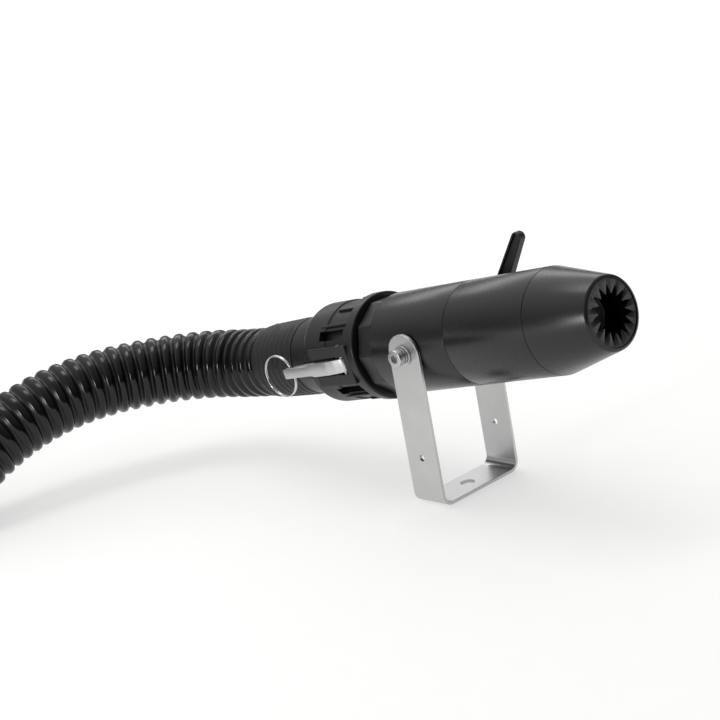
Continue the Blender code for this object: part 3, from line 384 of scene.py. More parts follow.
finishes = {
    "tube": blackAluminium(),
    "coupler": mouldedPolypropylene("grainedBlackPolypropylene", "#0c0c0d", "#131314", 0.0009, 0.36),
    "lever": mouldedPolypropylene("grainedBlackGlassFilledNylon", "#141415", "#1e1e20", 0.0008, 0.5),
    "hose": glossyPvc(),
    "rubber": cuffRubber(),
    # Strap ground along its length: pale neutral grey, with hairlines that blur what it mirrors
    "strap": bareMetal("brushedStainlessSteel", "#cbcbcb", "#bdbdbd", 0.34, 0.05, 0.0011, 0.08,
                       stretch=(1, 0.02, 0.02)),
    # Cast, then tumbled and nickel plated: bright, with soft pits
    "casting": bareMetal("tumbledNickelPlatedCasting", "#cfcfce", "#bababa", 0.33, 0.05, 0.0022, 0.06),
    # Drawn spring wire: mirror bright along its turns
    "wire": bareMetal("brightDrawnSpringWire", "#dcdcdc", "#c6c6c6", 0.15, 0.05, 0.0015, 0.05),
    # Zinc plated screws and washers: cooler and greyer than the strap, with fine pits
    "zinc": bareMetal("brightZincPlatedSteel", "#cccccd", "#b2b3b4", 0.3, 0.06, 0.0008, 0.06),
    # Black oxide on steel: dark grey, with an oily sheen
    "oxide": bareMetal("blackOxideSteel", "#2b2b2e", "#3a3a3d", 0.38, 0.06, 0.001, 0.2),
    # Turned brass: yellow, a little dulled
    "brass": bareMetal("turnedBrass", "#c39a4d", "#9c7638", 0.3, 0.06, 0.0009, 0.2),
    "knit": knittedPolyester(),
    "clear": clearTubing(),
}
print("stage: finishes are made")


def settle(piece, body, finish, *nodes):
    # A piece gets its finish, rides on its body, and stands for its CAD nodes
    piece.data.materials.clear()
    piece.data.materials.append(finishes[finish])
    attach(piece, body)
    if nodes:
        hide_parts(*nodes)
    return piece


# Camera, floor and light

view = {
    "place": (1.04034, -0.96931, 0.41958),  # from the pivot
    "right": (0.67828, 0.71334, -0.17631),
    "up": (-0.09583, 0.32377, 0.94127),
    "back": (0.72853, -0.62155, 0.28796),
    "lens": 102.79,
    "shift": (0.00066, 0.0043),
}
cameraData = bpy.data.cameras.new("camera")
cameraData.lens = view["lens"]
cameraData.sensor_width = 36
cameraData.shift_x, cameraData.shift_y = view["shift"]
camera = bpy.data.objects.new("camera", cameraData)
bpy.context.scene.collection.objects.link(camera)
facing = Matrix([view["right"], view["up"], view["back"]]).transposed().to_4x4()
camera.matrix_world = Matrix.Translation(pivot + np.array(view["place"])) @ facing
bpy.context.scene.camera = camera
bpy.context.scene.view_settings.view_transform = "Standard"  # white paper stays white

studio = {
    "floorRadius": 14.0,
    "paper": ("#c6c6c4", "#cbcbc9"),
    "glow": 0.5,  # painted light: the paper glows, which fills in the shadows cast on it, so it shows hardly any shadow
    "farGlow": 1.1,
    "glowBetween": (0.5, 2.5),  # metres from the scene's origin
    # The dome's brightness at the horizon and above, with the height where it is reached
    "horizon": 0.22,
    "zenith": 1.1,
    "zenithAt": 0.9,
    "frontShare": 0.34,  # how much of that is left straight ahead of the nozzle
    "frontBetween": (-0.6, 0.7),  # the X of the directions between which it falls to that
    # Each light's place from the pivot, its size and its watts
    "lights": {
        "softboxAbove": ((-0.5, 0.1, 1.5), (0.9, 0.5), 5),
        "stripBehind": ((-1.3, 1.2, 0.95), (1.8, 0.5), 5),
        "boxLeft": ((-0.15, -1.5, 0.2), (0.25, 0.35), 5),
    },
}


def makeStudio():
    turn = np.linspace(0, math.tau, 96, endpoint=False)
    reach = np.array([0.0, 0.5, 2.0, 6.0, studio["floorRadius"]])[:, None]
    grid = np.stack([pivot[0] + reach * np.cos(turn), pivot[1] + reach * np.sin(turn),
                     -0.0002 + 0 * reach * turn], axis=-1)
    floor = gridPiece("floor", grid)
    if floor.data.polygons[0].normal.z < 0:
        floor.data.flip_normals()
    finish, tree, shader, flow = newFinish("paleStudioPaper", studio["paper"][0], 0.9)
    addTint(tree, shader, addNoise(tree, flow, 0.02, 3.0), *studio["paper"])
    away = addNode(tree, "ShaderNodeVectorMath", {"operation": "LENGTH"}, {0: flow})
    glow = addRange(tree, away.outputs["Value"], studio["glow"], studio["farGlow"], *studio["glowBetween"])
    # The paper's emission is painted light: it brightens the floor and washes out the shadows cast on it
    shader.inputs["Emission Color"].default_value = (1, 1, 1, 1)
    tree.links.new(glow, shader.inputs["Emission Strength"])
    floor.data.materials.append(finish)
    world = bpy.data.worlds.new("softDome")
    bpy.context.scene.world = world
    world.use_nodes = True
    dome = world.node_tree
    direction = addNode(dome, "ShaderNodeTexCoord")
    height = addNode(dome, "ShaderNodeSeparateXYZ", links={"Vector": direction.outputs["Generated"]})
    level = addRange(dome, height.outputs["Z"], studio["horizon"], studio["zenith"], 0.0, studio["zenithAt"])
    ahead = addRange(dome, height.outputs["X"], 1.0, studio["frontShare"], *studio["frontBetween"])
    for share in (level, ahead):
        share.node.interpolation_type = "SMOOTHSTEP"
    background = dome.nodes["Background"]
    dome.links.new(multiplied(dome, level, ahead), background.inputs["Strength"])
    background.inputs["Color"].default_value = (1, 1, 1, 1)
    for name, (offset, size, watts) in studio["lights"].items():
        data = bpy.data.lights.new(name, "AREA")
        data.shape = "RECTANGLE"
        data.size, data.size_y = size
        data.energy = watts
        lamp = bpy.data.objects.new(name, data)
        aim = (-Vector(offset)).to_track_quat("-Z", "Y").to_matrix().to_4x4()
        lamp.matrix_world = Matrix.Translation(pivot + np.array(offset)) @ aim
        bpy.context.scene.collection.objects.link(lamp)


makeStudio()
print("stage: camera, floor and light are set")


# Hose: the stretch that shows and its way to the floor, then the coil with the rest of its length

hose = {
    "outside": 0.055,
    "ribDepth": 0.003,
    "pitch": 0.0108,  # from rib to rib
    "valley": 4,  # a higher power makes the valleys narrower
    "bore": 0.0215,
    "start": -0.1429,  # on the nozzle's axis, in the cuff
    "around": 64,
    "rowsPerRib": 12,
    # The bend: places from the pivot, with heights from the floor
    "bend": [
        (-0.2297, -0.0039, 0.0736), (-0.2501, -0.0119, 0.0739), (-0.2685, -0.0239, 0.0745),
        (-0.2841, -0.0399, 0.0755), (-0.2974, -0.0587, 0.0763), (-0.3081, -0.0779, 0.0768),
        (-0.3162, -0.0984, 0.0767), (-0.3225, -0.1194, 0.0752), (-0.3274, -0.1406, 0.0719),
        (-0.3315, -0.1616, 0.0668), (-0.3349, -0.1821, 0.0596), (-0.3382, -0.2018, 0.0503),
        (-0.3405, -0.2240, 0.0414), (-0.3422, -0.2480, 0.0344), (-0.3434, -0.2740, 0.0297),
        (-0.3450, -0.2955, 0.0278), (-0.3450, -0.3145, 0.0278), (-0.3450, -0.3320, 0.0278),
    ],
}
coil = {
    "radius": 0.332,
    "runIn": 0.0175,
    "turns": 2.25,
    "spacing": 0.058,
    "lastRadius": 0.15,
    "endHeight": 0.0333,
    "around": 28,
    "rowsPerRib": 7,
    "end": (-0.600634, -0.25565, 0.0333),
    "cuffLength": 0.0595,
}


def smoothCurve(points, perPiece=40):
    # Centripetal Catmull-Rom: between b and c, three rounds of straight blends of a, b, c and d,
    # whose knots are the square roots of the distances apart. The first and last points only guide.
    result = []
    for a, b, c, d in zip(points, points[1:], points[2:], points[3:]):
        knots = np.cumsum([0.0] + [math.sqrt(np.linalg.norm(q - p)) for p, q in ((a, b), (b, c), (c, d))])
        t = (knots[1] + (knots[2] - knots[1]) * np.arange(perPiece) / perPiece)[:, None]

        def blend(p, q, low, high):
            return p * (high - t) / (high - low) + q * (t - low) / (high - low)

        first, middle, last = blend(a, b, *knots[:2]), blend(b, c, *knots[1:3]), blend(c, d, *knots[2:])
        earlier, later = blend(first, middle, knots[0], knots[2]), blend(middle, last, knots[1], knots[3])
        result.append(blend(earlier, later, knots[1], knots[2]))
    return np.concatenate(result + [points[-2][None]])


def walkedAlong(path):
    # The distance walked to each point
    return np.concatenate([[0.0], np.cumsum(np.linalg.norm(np.diff(path, axis=0), axis=1))])


def placesAlong(path, distances):
    # Each coordinate is read off the walked distance
    walked = walkedAlong(path)
    return np.stack([np.interp(distances, walked, path[:, i]) for i in range(3)], axis=1)


def ringsAlong(path, radii, around):
    # centre + radius * (cos(turn) * side + sin(turn) * up), where side is level and square to the path
    tangent = np.gradient(path, axis=0)
    tangent /= np.linalg.norm(tangent, axis=1)[:, None]
    side = np.cross(tangent, (0.0, 0.0, 1.0))
    side /= np.linalg.norm(side, axis=1)[:, None]
    up = np.cross(side, tangent)
    turn = np.linspace(0, math.tau, around, endpoint=False)[None, :, None]
    radii = np.asarray(radii)[:, None, None]
    return path[:, None] + radii * (np.cos(turn) * side[:, None] + np.sin(turn) * up[:, None])


def ribbedTube(name, path, around, rowsPerRib):
    # Outside radius = R - depth * |cos(pi * walked / pitch)| ** power, so crests are wide and valleys
    # narrow. A plain bore inside joins it at both ends, and the valley's share is kept for the finish.
    length = walkedAlong(path)[-1]
    ribs = round(length / hose["pitch"])
    walked = np.linspace(0, length, ribs * rowsPerRib + 1)
    share = np.abs(np.cos(math.pi * walked * ribs / length)) ** hose["valley"]
    outer = ringsAlong(placesAlong(path, walked), hose["outside"] / 2 - hose["ribDepth"] * share, around)
    few = np.linspace(0, length, ribs + 1)
    inner = ringsAlong(placesAlong(path, few), np.full(ribs + 1, hose["bore"]), around)
    piece = gridPiece(name, np.concatenate([outer, inner[::-1]]), closeRows=True, sharp=60)
    valley = np.concatenate([np.repeat(share, around), np.zeros((ribs + 1) * around)])
    piece.data.attributes.new("valley", "FLOAT", "POINT").data.foreach_set("value", valley.astype(np.float32))
    return piece, length


def makeHose():
    ground = np.array([pivot[0], pivot[1], 0.0])
    start = onAxes((hose["start"], 0, 0))
    straight = onAxes((hose["start"] - hose["outside"], 0, 0))
    guides = [start, straight, *[ground + np.array(point) for point in hose["bend"]]]
    free = np.concatenate([start[None], smoothCurve(guides), guides[-1][None]])
    piece, length = ribbedTube("hoseStretch", free, hose["around"], hose["rowsPerRib"])
    settle(piece, "head", "hose", "hose")
    # The coil: a straight start, a flat spiral inwards, a half turn that rises, and a straight end
    first = free[-1] + (0, -seat, 0)
    centre = first + (-coil["radius"], -coil["runIn"], 0)
    turn = -np.linspace(0, math.tau * coil["turns"], 325)
    reach = coil["radius"] + coil["spacing"] * turn / math.tau
    spiral = centre + np.stack([reach * np.cos(turn), reach * np.sin(turn), 0 * turn], axis=1)
    out = np.array([math.cos(turn[-1]), math.sin(turn[-1]), 0])
    hub = spiral[-1] - out * coil["lastRadius"]
    half = np.linspace(0, math.pi, 73)[1:]
    rise = (coil["endHeight"] - first[2]) * (1 - np.cos(half)) / 2
    arm = turn[-1] - half
    last = hub + np.stack([coil["lastRadius"] * np.cos(arm), coil["lastRadius"] * np.sin(arm), rise], axis=1)
    runOut = np.array([-math.sin(turn[-1]), math.cos(turn[-1]), 0])
    end = last[-1] + runOut * (coil["cuffLength"] + seat)
    path = np.concatenate([first[None], spiral, last, end[None]])
    path = placesAlong(path, np.linspace(0, walkedAlong(path)[-1], 900))
    piece, length = ribbedTube("hoseCoil", path, coil["around"], coil["rowsPerRib"])
    settle(piece, "head", "hose", "hose_coil")
    return piece, path, length


coilPiece, coilPath, coilLength = makeHose()
print("stage: hose and coil are made")

# Cuff: a rubber sleeve over the hose's end, slightly tapered, with seven faint ribs

cuff = {
    "front": -0.1423,
    "length": 0.052,
    "frontRadius": 0.0298,
    "rearRadius": 0.0286,
    "ribs": 7,
    "ribHeight": 0.00055,
    "ribbed": (0.08, 0.94),  # the share of the length from where to where
    "bore": 0.0278,
    "lip": 0.0007,
}


def makeCuff(name, front, rear, axes=headAxes, origin=pivot):
    # radius = taper + height * sin(rib phase) ** 6, where the ribs leave both ends plain
    low, high = cuff["ribbed"]
    share = np.linspace(0.0, 1.0, 141)
    taper = cuff["frontRadius"] + (cuff["rearRadius"] - cuff["frontRadius"]) * share
    phase = np.clip((share - low) / (high - low), 0, 1) * cuff["ribs"]
    ribs = np.where((share > low) & (share < high), np.sin(math.pi * phase) ** 6, 0)
    outer = np.stack([taper + cuff["ribHeight"] * ribs, front + (rear - front) * share], axis=1)[3:-3]
    # Both ends have a rounded lip, whose arcs depend on which way the cuff runs
    sign = math.copysign(1.0, rear - front)
    lip = cuff["lip"]
    frontLip = arcPoints((outer[0, 0] - lip, front + sign * lip), lip, -90 * sign, 0, 5)
    rearLip = arcPoints((outer[-1, 0] - lip, rear - sign * lip), lip, 0, 90 * sign, 5)
    inner = np.array([(cuff["bore"], rear), (cuff["bore"], front)])
    return turnedPiece(name, np.concatenate([frontLip, outer, rearLip, inner]), 112, axes, origin, sharp=50)


hoseCuff = makeCuff("cuff", cuff["front"], cuff["front"] - cuff["length"])
settle(hoseCuff, "head", "rubber", "hose_cuff")

# Adapter: the plug that the coupler holds, a ten-sided wrench collar, and the spigot in the tube

adapter = {
    "bore": 0.021,
    "plug": 0.0286,
    "plugRear": -0.102,
    "grooveMiddle": -0.0741,
    "grooveDepth": 0.0028,
    "grooveLength": 0.013,
    "collarRear": -0.0535,
    "collarFront": -0.038,
    "collarRadius": 0.037,
    "collarTurn": -20.3,
    "collarEase": 0.0009,
    "collarInside": 0.023,
    "sides": 10,
    "spigot": 0.0342,
    "spigotFront": -0.018,
    "endCollar": 0.033,
    "endLength": 0.05,
}


def grooveArc(middle, radius, count=15):
    # A shallow arc into the plug: its radius is (half length ** 2 + depth ** 2) / (2 * depth)
    half, depth = adapter["grooveLength"] / 2, adapter["grooveDepth"]
    swing = (half * half + depth * depth) / (2 * depth)
    span = math.degrees(math.asin(half / swing))
    return arcPoints((radius - depth + swing, middle), swing, 180 - span, 180 + span, count)


def makeAdapter():
    a = adapter
    step = a["collarFront"] + 0.0004
    corners = [(a["bore"], a["plugRear"]), (a["bore"], a["spigotFront"]), (a["spigot"], a["spigotFront"]),
               (a["spigot"], step), (a["plug"], step), (a["plug"], a["plugRear"])]
    plug = turnedPiece("adapterBody", rounded(corners, [0.0006, 0.0006, 0.0006, 0, 0, 0.0015]), 128)
    # The collar: its outline has ten flats with slightly rounded corners, and chamfered ends
    angles = np.radians(a["collarTurn"] + np.arange(a["sides"]) * 360 / a["sides"])
    flats = rounded(np.stack([np.cos(angles), np.sin(angles)], axis=1) * a["collarRadius"], 0.004, 5)
    circle = flats / np.linalg.norm(flats, axis=1)[:, None] * a["collarInside"]
    ease = a["collarEase"]
    drawnIn = flats * (1 - ease / a["collarRadius"])
    rings = [(drawnIn, a["collarRear"]), (flats, a["collarRear"] + ease), (flats, a["collarFront"] - ease),
             (drawnIn, a["collarFront"]), (circle, a["collarFront"]), (circle, a["collarRear"])]
    grid = [np.column_stack([np.full(len(ring), along), -ring[:, 1], ring[:, 0]]) for ring, along in rings]
    collar = gridPiece("collar", onAxes(np.stack(grid)), closeRows=True, sharp=28)
    joined(plug, collar, "UNION", 28)
    groove = grooveArc(a["grooveMiddle"], a["plug"])
    outside, overlap = 0.033, 0.0006
    cutter = np.concatenate([groove, [(outside, groove[-1][1] - overlap), (outside, groove[0][1] + overlap)]])
    return joined(plug, turnedPiece("groove", cutter, 120), sharp=28)


settle(makeAdapter(), "head", "coupler", "adapter")
print("stage: cuff and adapter are made")

# Coupler: mouth ring, waist, domed body, ears with the arm's slot, windows, ribs and hose tail

coupler = {
    "mouthFront": -0.055, "mouthRear": -0.064, "mouthRadius": 0.0402, "mouthBore": 0.0292,
    "waist": 0.0368, "bulgeFront": -0.0905, "bulgeRear": -0.111, "bulge": 0.038,
    "shoulder": 0.0295, "rear": -0.142, "tail": 0.0212, "tailBore": 0.018, "tailEnd": -0.187,
    "earGap": 0.014, "earThickness": 0.008, "earHeight": 0.0405, "earStep": 0.0022,
    "earFront": -0.0615, "earRear": -0.107, "stepAt": -0.074,
    "pinAt": -0.0741, "pinHeight": 0.035, "pinRadius": 0.002, "pinRoom": 0.00015,
    "slotFront": -0.0661, "slotRear": -0.0841, "channelFloor": 0.0355, "channelRear": -0.1195,
    "windowAngle": 36.0, "windowFront": -0.07, "windowLength": 0.026, "windowWidth": 0.0075,
    "windowFloor": 0.0315,
    # The gasket's seat, and the taper of the bore behind it
    "seatFront": -0.1066, "seatRear": -0.1163, "seatBore": 0.021, "boreTaper": 0.02,
    # The ribs' angles from the arm, with their rear ends
    "ribs": ((47.5, -0.096), (70.0, -0.084)), "ribWidth": 0.0022, "ribHeight": 0.0387,
}


def makeCoupler():
    c = coupler
    domeCentre = (c["shoulder"], c["bulgeRear"] - 0.0008)
    dome = arcPoints(domeCentre, c["bulge"] - c["shoulder"], -75, 0, 9)
    # Each corner of the section with the radius of its rounding, from the mouth back along the
    # bore, round the tail's end and forward along the outside
    section = [
        (c["mouthBore"], c["mouthFront"], 0.0006), (c["mouthBore"], c["seatFront"], 0),
        (c["seatBore"], c["seatFront"], 0), (c["seatBore"], c["seatRear"], 0),
        (c["tailBore"], c["rear"] + c["boreTaper"], 0.001), (c["tailBore"], c["tailEnd"], 0.0004),
        (c["tail"] - 0.0015, c["tailEnd"], 0.0004), (c["tail"], c["tailEnd"] + 0.003, 0.0006),
        (c["tail"], c["rear"], 0), (c["shoulder"], c["rear"], 0.0008), (c["shoulder"], c["rear"] + 0.004, 0),
        *[(*point, 0) for point in dome], (c["bulge"], c["bulgeRear"], 0),
        (c["bulge"], c["bulgeFront"], 0.0006),
        (c["waist"], c["bulgeFront"] + 0.001, 0.0004), (c["waist"], c["mouthRear"], 0.0006),
        (c["mouthRadius"], c["mouthRear"], 0.0011), (c["mouthRadius"], c["mouthFront"], 0.0013),
    ]
    corners, ease = np.array(section)[:, :2], np.array(section)[:, 2]
    body = turnedPiece("couplerBody", rounded(corners, ease, 5), 160, sharp=40)
    outer = c["earGap"] / 2 + c["earThickness"]
    root = c["mouthBore"] + 0.0015
    low = c["earHeight"] - c["earStep"]
    ribRoot, ribFront = root + 0.004, c["mouthRear"] + 0.0005
    inside, outside = 0.021, 0.053  # how deep and how high the cuts reach
    for axes in sideAxes.values():
        ears = rounded([(c["earRear"], root), (c["earFront"], root), (c["earFront"], c["earHeight"]),
                        (c["stepAt"], c["earHeight"]), (c["stepAt"] - c["earStep"], low),
                        (c["earRear"], low)], [0, 0, 0.001, 0.0005, 0.0005, 0.0012], 4)
        joined(body, slabPiece("ears", ears, outer, 0.0006, axes), "UNION")
        for sign in (-1, 1):
            for angle, ribRear in c["ribs"]:
                rib = rounded([(ribRear - 0.005, ribRoot), (ribFront, ribRoot), (ribFront, c["ribHeight"]),
                               (ribRear, c["ribHeight"])], [0, 0, 0, 0.003], 4)
                ribAxes = turnedAxes(axes, sign * angle)
                joined(body, slabPiece("rib", rib, c["ribWidth"] / 2, 0.0005, ribAxes), "UNION")
            window = [(c["windowFront"] - c["windowLength"], c["windowFloor"]),
                      (c["windowFront"], c["windowFloor"]), (c["windowFront"], 0.05),
                      (c["windowFront"] - c["windowLength"], 0.05)]
            windowAxes = turnedAxes(axes, sign * c["windowAngle"])
            joined(body, slabPiece("window", window, c["windowWidth"] / 2, 0.0, windowAxes))
        slot = [(c["slotFront"], inside), (c["slotFront"], outside), (c["channelRear"], outside),
                (c["channelRear"], c["channelFloor"]), (c["slotRear"], c["channelFloor"]),
                (c["slotRear"], inside)]
        joined(body, slabPiece("slot", slot, c["earGap"] / 2, 0.0, axes))
        drilled(body, c["pinRadius"] + c["pinRoom"], 0.03, 32, axes[[1, 2, 0]], pinPlace(axes), 40)
    return eased(body, 0.0004)


def pinPlace(axes):
    return onAxes((coupler["pinAt"], 0, coupler["pinHeight"]), axes)


def makeArmPin(tag, axes):
    radius, ease = coupler["pinRadius"], 0.0004
    reach = coupler["earGap"] / 2 + coupler["earThickness"]
    profile = [(0, -reach), (radius - ease, -reach), (radius, -reach + ease), (radius, reach - ease),
               (radius - ease, reach), (0, reach)]
    pin = turnedPiece("armPin" + tag.capitalize(), profile, 40, axes[[1, 2, 0]], pinPlace(axes), closed=False)
    settle(pin, "head", "zinc", "cam_pin_" + tag)


settle(makeCoupler(), "head", "coupler", "coupler_body")
for tag, axes in sideAxes.items():
    makeArmPin(tag, axes)
print("stage: coupler is made")

# Cam arms: a cast lever with a cam round its pin, a wide front, a narrow tail, and a split ring

arm = {
    "rise": 0.007, "thickness": 0.005, "width": 0.0104, "tailWidth": 0.0078,
    "front": 0.0042, "length": 0.0701, "wide": 0.034, "reach": 0.008, "ringHole": 0.0018,
    "holeFromTail": 0.0095, "ringRadius": 0.0165, "wire": 0.00055, "drop": 5.0, "edge": 0.0004,
    "pinHole": 0.0023, "widthStep": 0.004, "tailCorner": (0.0025, 0.0022), "spacing": 0.0015,
}


def makeArm(tag, axes):
    a = arm
    origin = pinPlace(axes)
    front, under, rise, reach = a["front"], a["rise"] - a["thickness"], a["rise"], a["reach"]
    back = front - a["length"]
    # Each corner of the side view with the radius of its rounding: the cam round its pin, the
    # underside back to the tail, and the upper side forward
    section = [
        *[(*point, 0) for point in arcPoints((0, 0), front, 75, 0, 7)],
        (front * 0.94, -front * 0.55, 0.002), (front * 0.55, -reach * 0.9, 0.003), (0.0, -reach, 0.004),
        (-front * 0.7, -reach * 0.86, 0.003), (-front * 1.25, -reach * 0.3, 0.004),
        (-front * 1.8, under * 0.3, 0.006), (-front * 3.2, under, 0.01), (back, under, 0.0018),
        (back, rise, 0.0018), (-front * 3.2, rise, 0.01),
        (-front * 1.2, front + (rise - front) * 0.55, 0.008),
    ]
    outline = rounded(np.array(section)[:, :2], np.array(section)[:, 2], 6)
    # With more points along the straight stretches, the width can change smoothly there
    fine = finePoints(outline, a["spacing"])
    # Half width: wide at the cam, then a smooth step to the tail, whose corners are round
    t = np.clip((front - a["wide"] - fine[:, 0]) / a["widthStep"], 0, 1)
    width = a["width"] / 2 + (a["tailWidth"] - a["width"]) / 2 * t * t * (3 - 2 * t)
    cornerLength, cornerDepth = a["tailCorner"]
    corner = np.clip((back + cornerLength - fine[:, 0]) / cornerLength, 0, 1)
    width = width - cornerDepth * (1 - np.sqrt(1 - corner ** 2))
    piece = slabPiece("camArm" + tag.capitalize(), fine, width, a["edge"], axes, origin, sharp=40)
    drilled(piece, a["pinHole"], 0.02, 40, axes[[1, 2, 0]], origin)
    hole = onAxes((back + a["holeFromTail"], 0, rise - a["thickness"] / 2), axes, origin)
    drilled(piece, a["ringHole"], 0.02, 32, axes[[1, 2, 0]], hole, 40)
    settle(piece, "cam_arm_" + tag, "casting", "cam_arm_" + tag)
    makeRing(tag, axes, hole)


def makeRing(tag, axes, hole):
    # Two turns of wire: at the angle t the middle is R * (cos(t), sin(t)), and it steps from one
    # layer to the other over 0.12 of a turn. The wire's section is a circle, and its ends are cut.
    t = np.linspace(0, 2 * math.tau, 289)
    step = np.clip((t / math.tau - 0.94) / 0.12, 0, 1)
    layer = arm["wire"] * (2 * step * step * (3 - 2 * step) - 1)
    lean = math.radians(arm["drop"] * (1 if tag == "near" else -1))
    middle = np.stack([arm["ringRadius"] * np.cos(t), arm["ringRadius"] * np.sin(t), layer], axis=1)
    radial = np.stack([np.cos(t), np.sin(t), 0 * t], axis=1)
    section = np.linspace(0, math.tau, 14, endpoint=False)[None, :, None]
    lift = np.array((0.0, 0.0, 1.0))
    grid = middle[:, None] + arm["wire"] * (np.cos(section) * radial[:, None] + np.sin(section) * lift)
    # In the hole the ring's middle sits a little behind the hole's, as its arc needs
    sag = arm["tailWidth"] ** 2 / 16 / arm["ringRadius"]
    grid = grid + (sag - arm["ringRadius"], 0, 0)
    # Turned about the arm's outward axis, in the arm's plane
    x, y = grid[..., 0].copy(), grid[..., 1].copy()
    grid[..., 0] = x * math.cos(lean) - y * math.sin(lean)
    grid[..., 1] = x * math.sin(lean) + y * math.cos(lean)
    ring = gridPiece("splitRing" + tag.capitalize(), onAxes(grid, axes, hole), capEnds=True, sharp=60)
    settle(ring, "pull_ring_" + tag, "wire", "pull_ring_" + tag)


for tag, axes in sideAxes.items():
    makeArm(tag, axes)
print("stage: arms and rings are made")

# Nozzle: two tubes that meet at a fine groove, the cone with its rounded rim, and the star plate

nozzle = {
    "radius": 0.0375, "bore": 0.0345, "rear": -0.0377, "seam": 0.0416, "front": 0.1206, "tip": 0.169,
    "tipRadius": 0.0262, "rimRound": 0.0025, "groove": 0.0003, "spigot": 0.02, "wall": 0.003,
    "plateRadius": 0.0232, "plateThickness": 0.0035, "recess": 0.0008,
    "teeth": 15, "toothRadius": 0.0126, "notchRadius": 0.0203, "starTurn": 3.8, "starRound": 0.0005,
    "starSpacing": 0.0012, "starEase": 0.00018, "insertRadius": 0.0063,
}


def makeNozzle():
    n = nozzle
    radius, bore, seam, front = n["radius"], n["bore"], n["seam"], n["front"]
    spigot = bore - seat
    inside = spigot - n["wall"]
    corners = [(radius, n["rear"]), (radius, seam), (spigot, seam), (spigot, seam + n["spigot"]),
               (inside, seam + n["spigot"]), (inside, seam - n["wall"]), (bore, seam - 2 * n["wall"]),
               (bore, n["rear"])]
    ease = [0.0008, n["groove"], 0, 0.0005, 0.0005, 0, 0, 0.0004]
    rear = turnedPiece("tubeRear", rounded(corners, ease), 192)
    drilled(rear, n["insertRadius"], 0.05, 40, acrossAxes)
    settle(rear, "head", "tube", "barrel_rear")
    corners = [(radius, seam + seat), (radius, front), (bore, front), (bore, seam + seat)]
    middle = turnedPiece("tubeFront", rounded(corners, [n["groove"], 0.0002, 0.0002, 0.0004]), 192)
    settle(middle, "head", "tube", "barrel_front")
    plateBack = n["tip"] - n["recess"] - n["plateThickness"]
    pocket, throat = n["plateRadius"] + seat, n["notchRadius"] + seat
    rim = arcPoints((n["tipRadius"] - n["rimRound"], n["tip"] - n["rimRound"]), n["rimRound"], 12, 90, 9)
    corners = [(radius, front + seat), *rim, (pocket, n["tip"]), (pocket, plateBack - seat),
               (throat, plateBack - seat), (inside, front - n["spigot"] / 2), (inside, front - n["spigot"]),
               (spigot, front - n["spigot"]), (spigot, front + seat)]
    ease = [0.0003, *[0] * len(rim), 0.0003, 0, 0.0003, 0, 0.0004, 0.0004, 0]
    settle(turnedPiece("cone", rounded(corners, ease), 192), "head", "tube", "nose_cone")
    makeStar(plateBack)


def makeStar(back):
    # Straight sides between points that lie in turn on the notch and the tooth radius, slightly
    # rounded. Round the angle of each point, the plate's section is carried from the star to the rim.
    n = nozzle
    index = np.arange(2 * n["teeth"])
    angle = math.pi * index / n["teeth"] + math.radians(n["starTurn"])
    reach = np.where(index % 2, n["toothRadius"], n["notchRadius"])
    points = rounded(np.stack([reach * np.cos(angle), reach * np.sin(angle)], axis=1), n["starRound"], 5)
    star = finePoints(points, n["starSpacing"])
    side = np.roll(star, -1, 0) - np.roll(star, 1, 0)
    away = np.stack([side[:, 1], -side[:, 0]], axis=1)
    away /= np.linalg.norm(away, axis=1)[:, None]
    circle = star / np.linalg.norm(star, axis=1)[:, None] * n["plateRadius"]
    ease = n["starEase"]
    front = back + n["plateThickness"]
    rings = [(star, back), (star, front - ease), (star + away * 0.3 * ease, front - 0.3 * ease),
             (star + away * ease, front), (circle, front), (circle, back)]
    grid = np.stack([np.column_stack([np.full(len(star), along), ring[:, 1], -ring[:, 0]])
                     for ring, along in rings])
    settle(gridPiece("starPlate", onAxes(grid), closeRows=True, sharp=30), "head", "tube", "outlet_plate")


makeNozzle()
print("stage: nozzle is made")

# Foam sock: a knitted sleeve over its carrier, closed in front, with a soft gathered end

sock = {"radius": 0.0249, "wall": 0.0012, "start": 0.0652, "end": 0.147, "taper": 0.76, "tipRound": 0.006,
        "gathers": 9, "swell": 0.012}


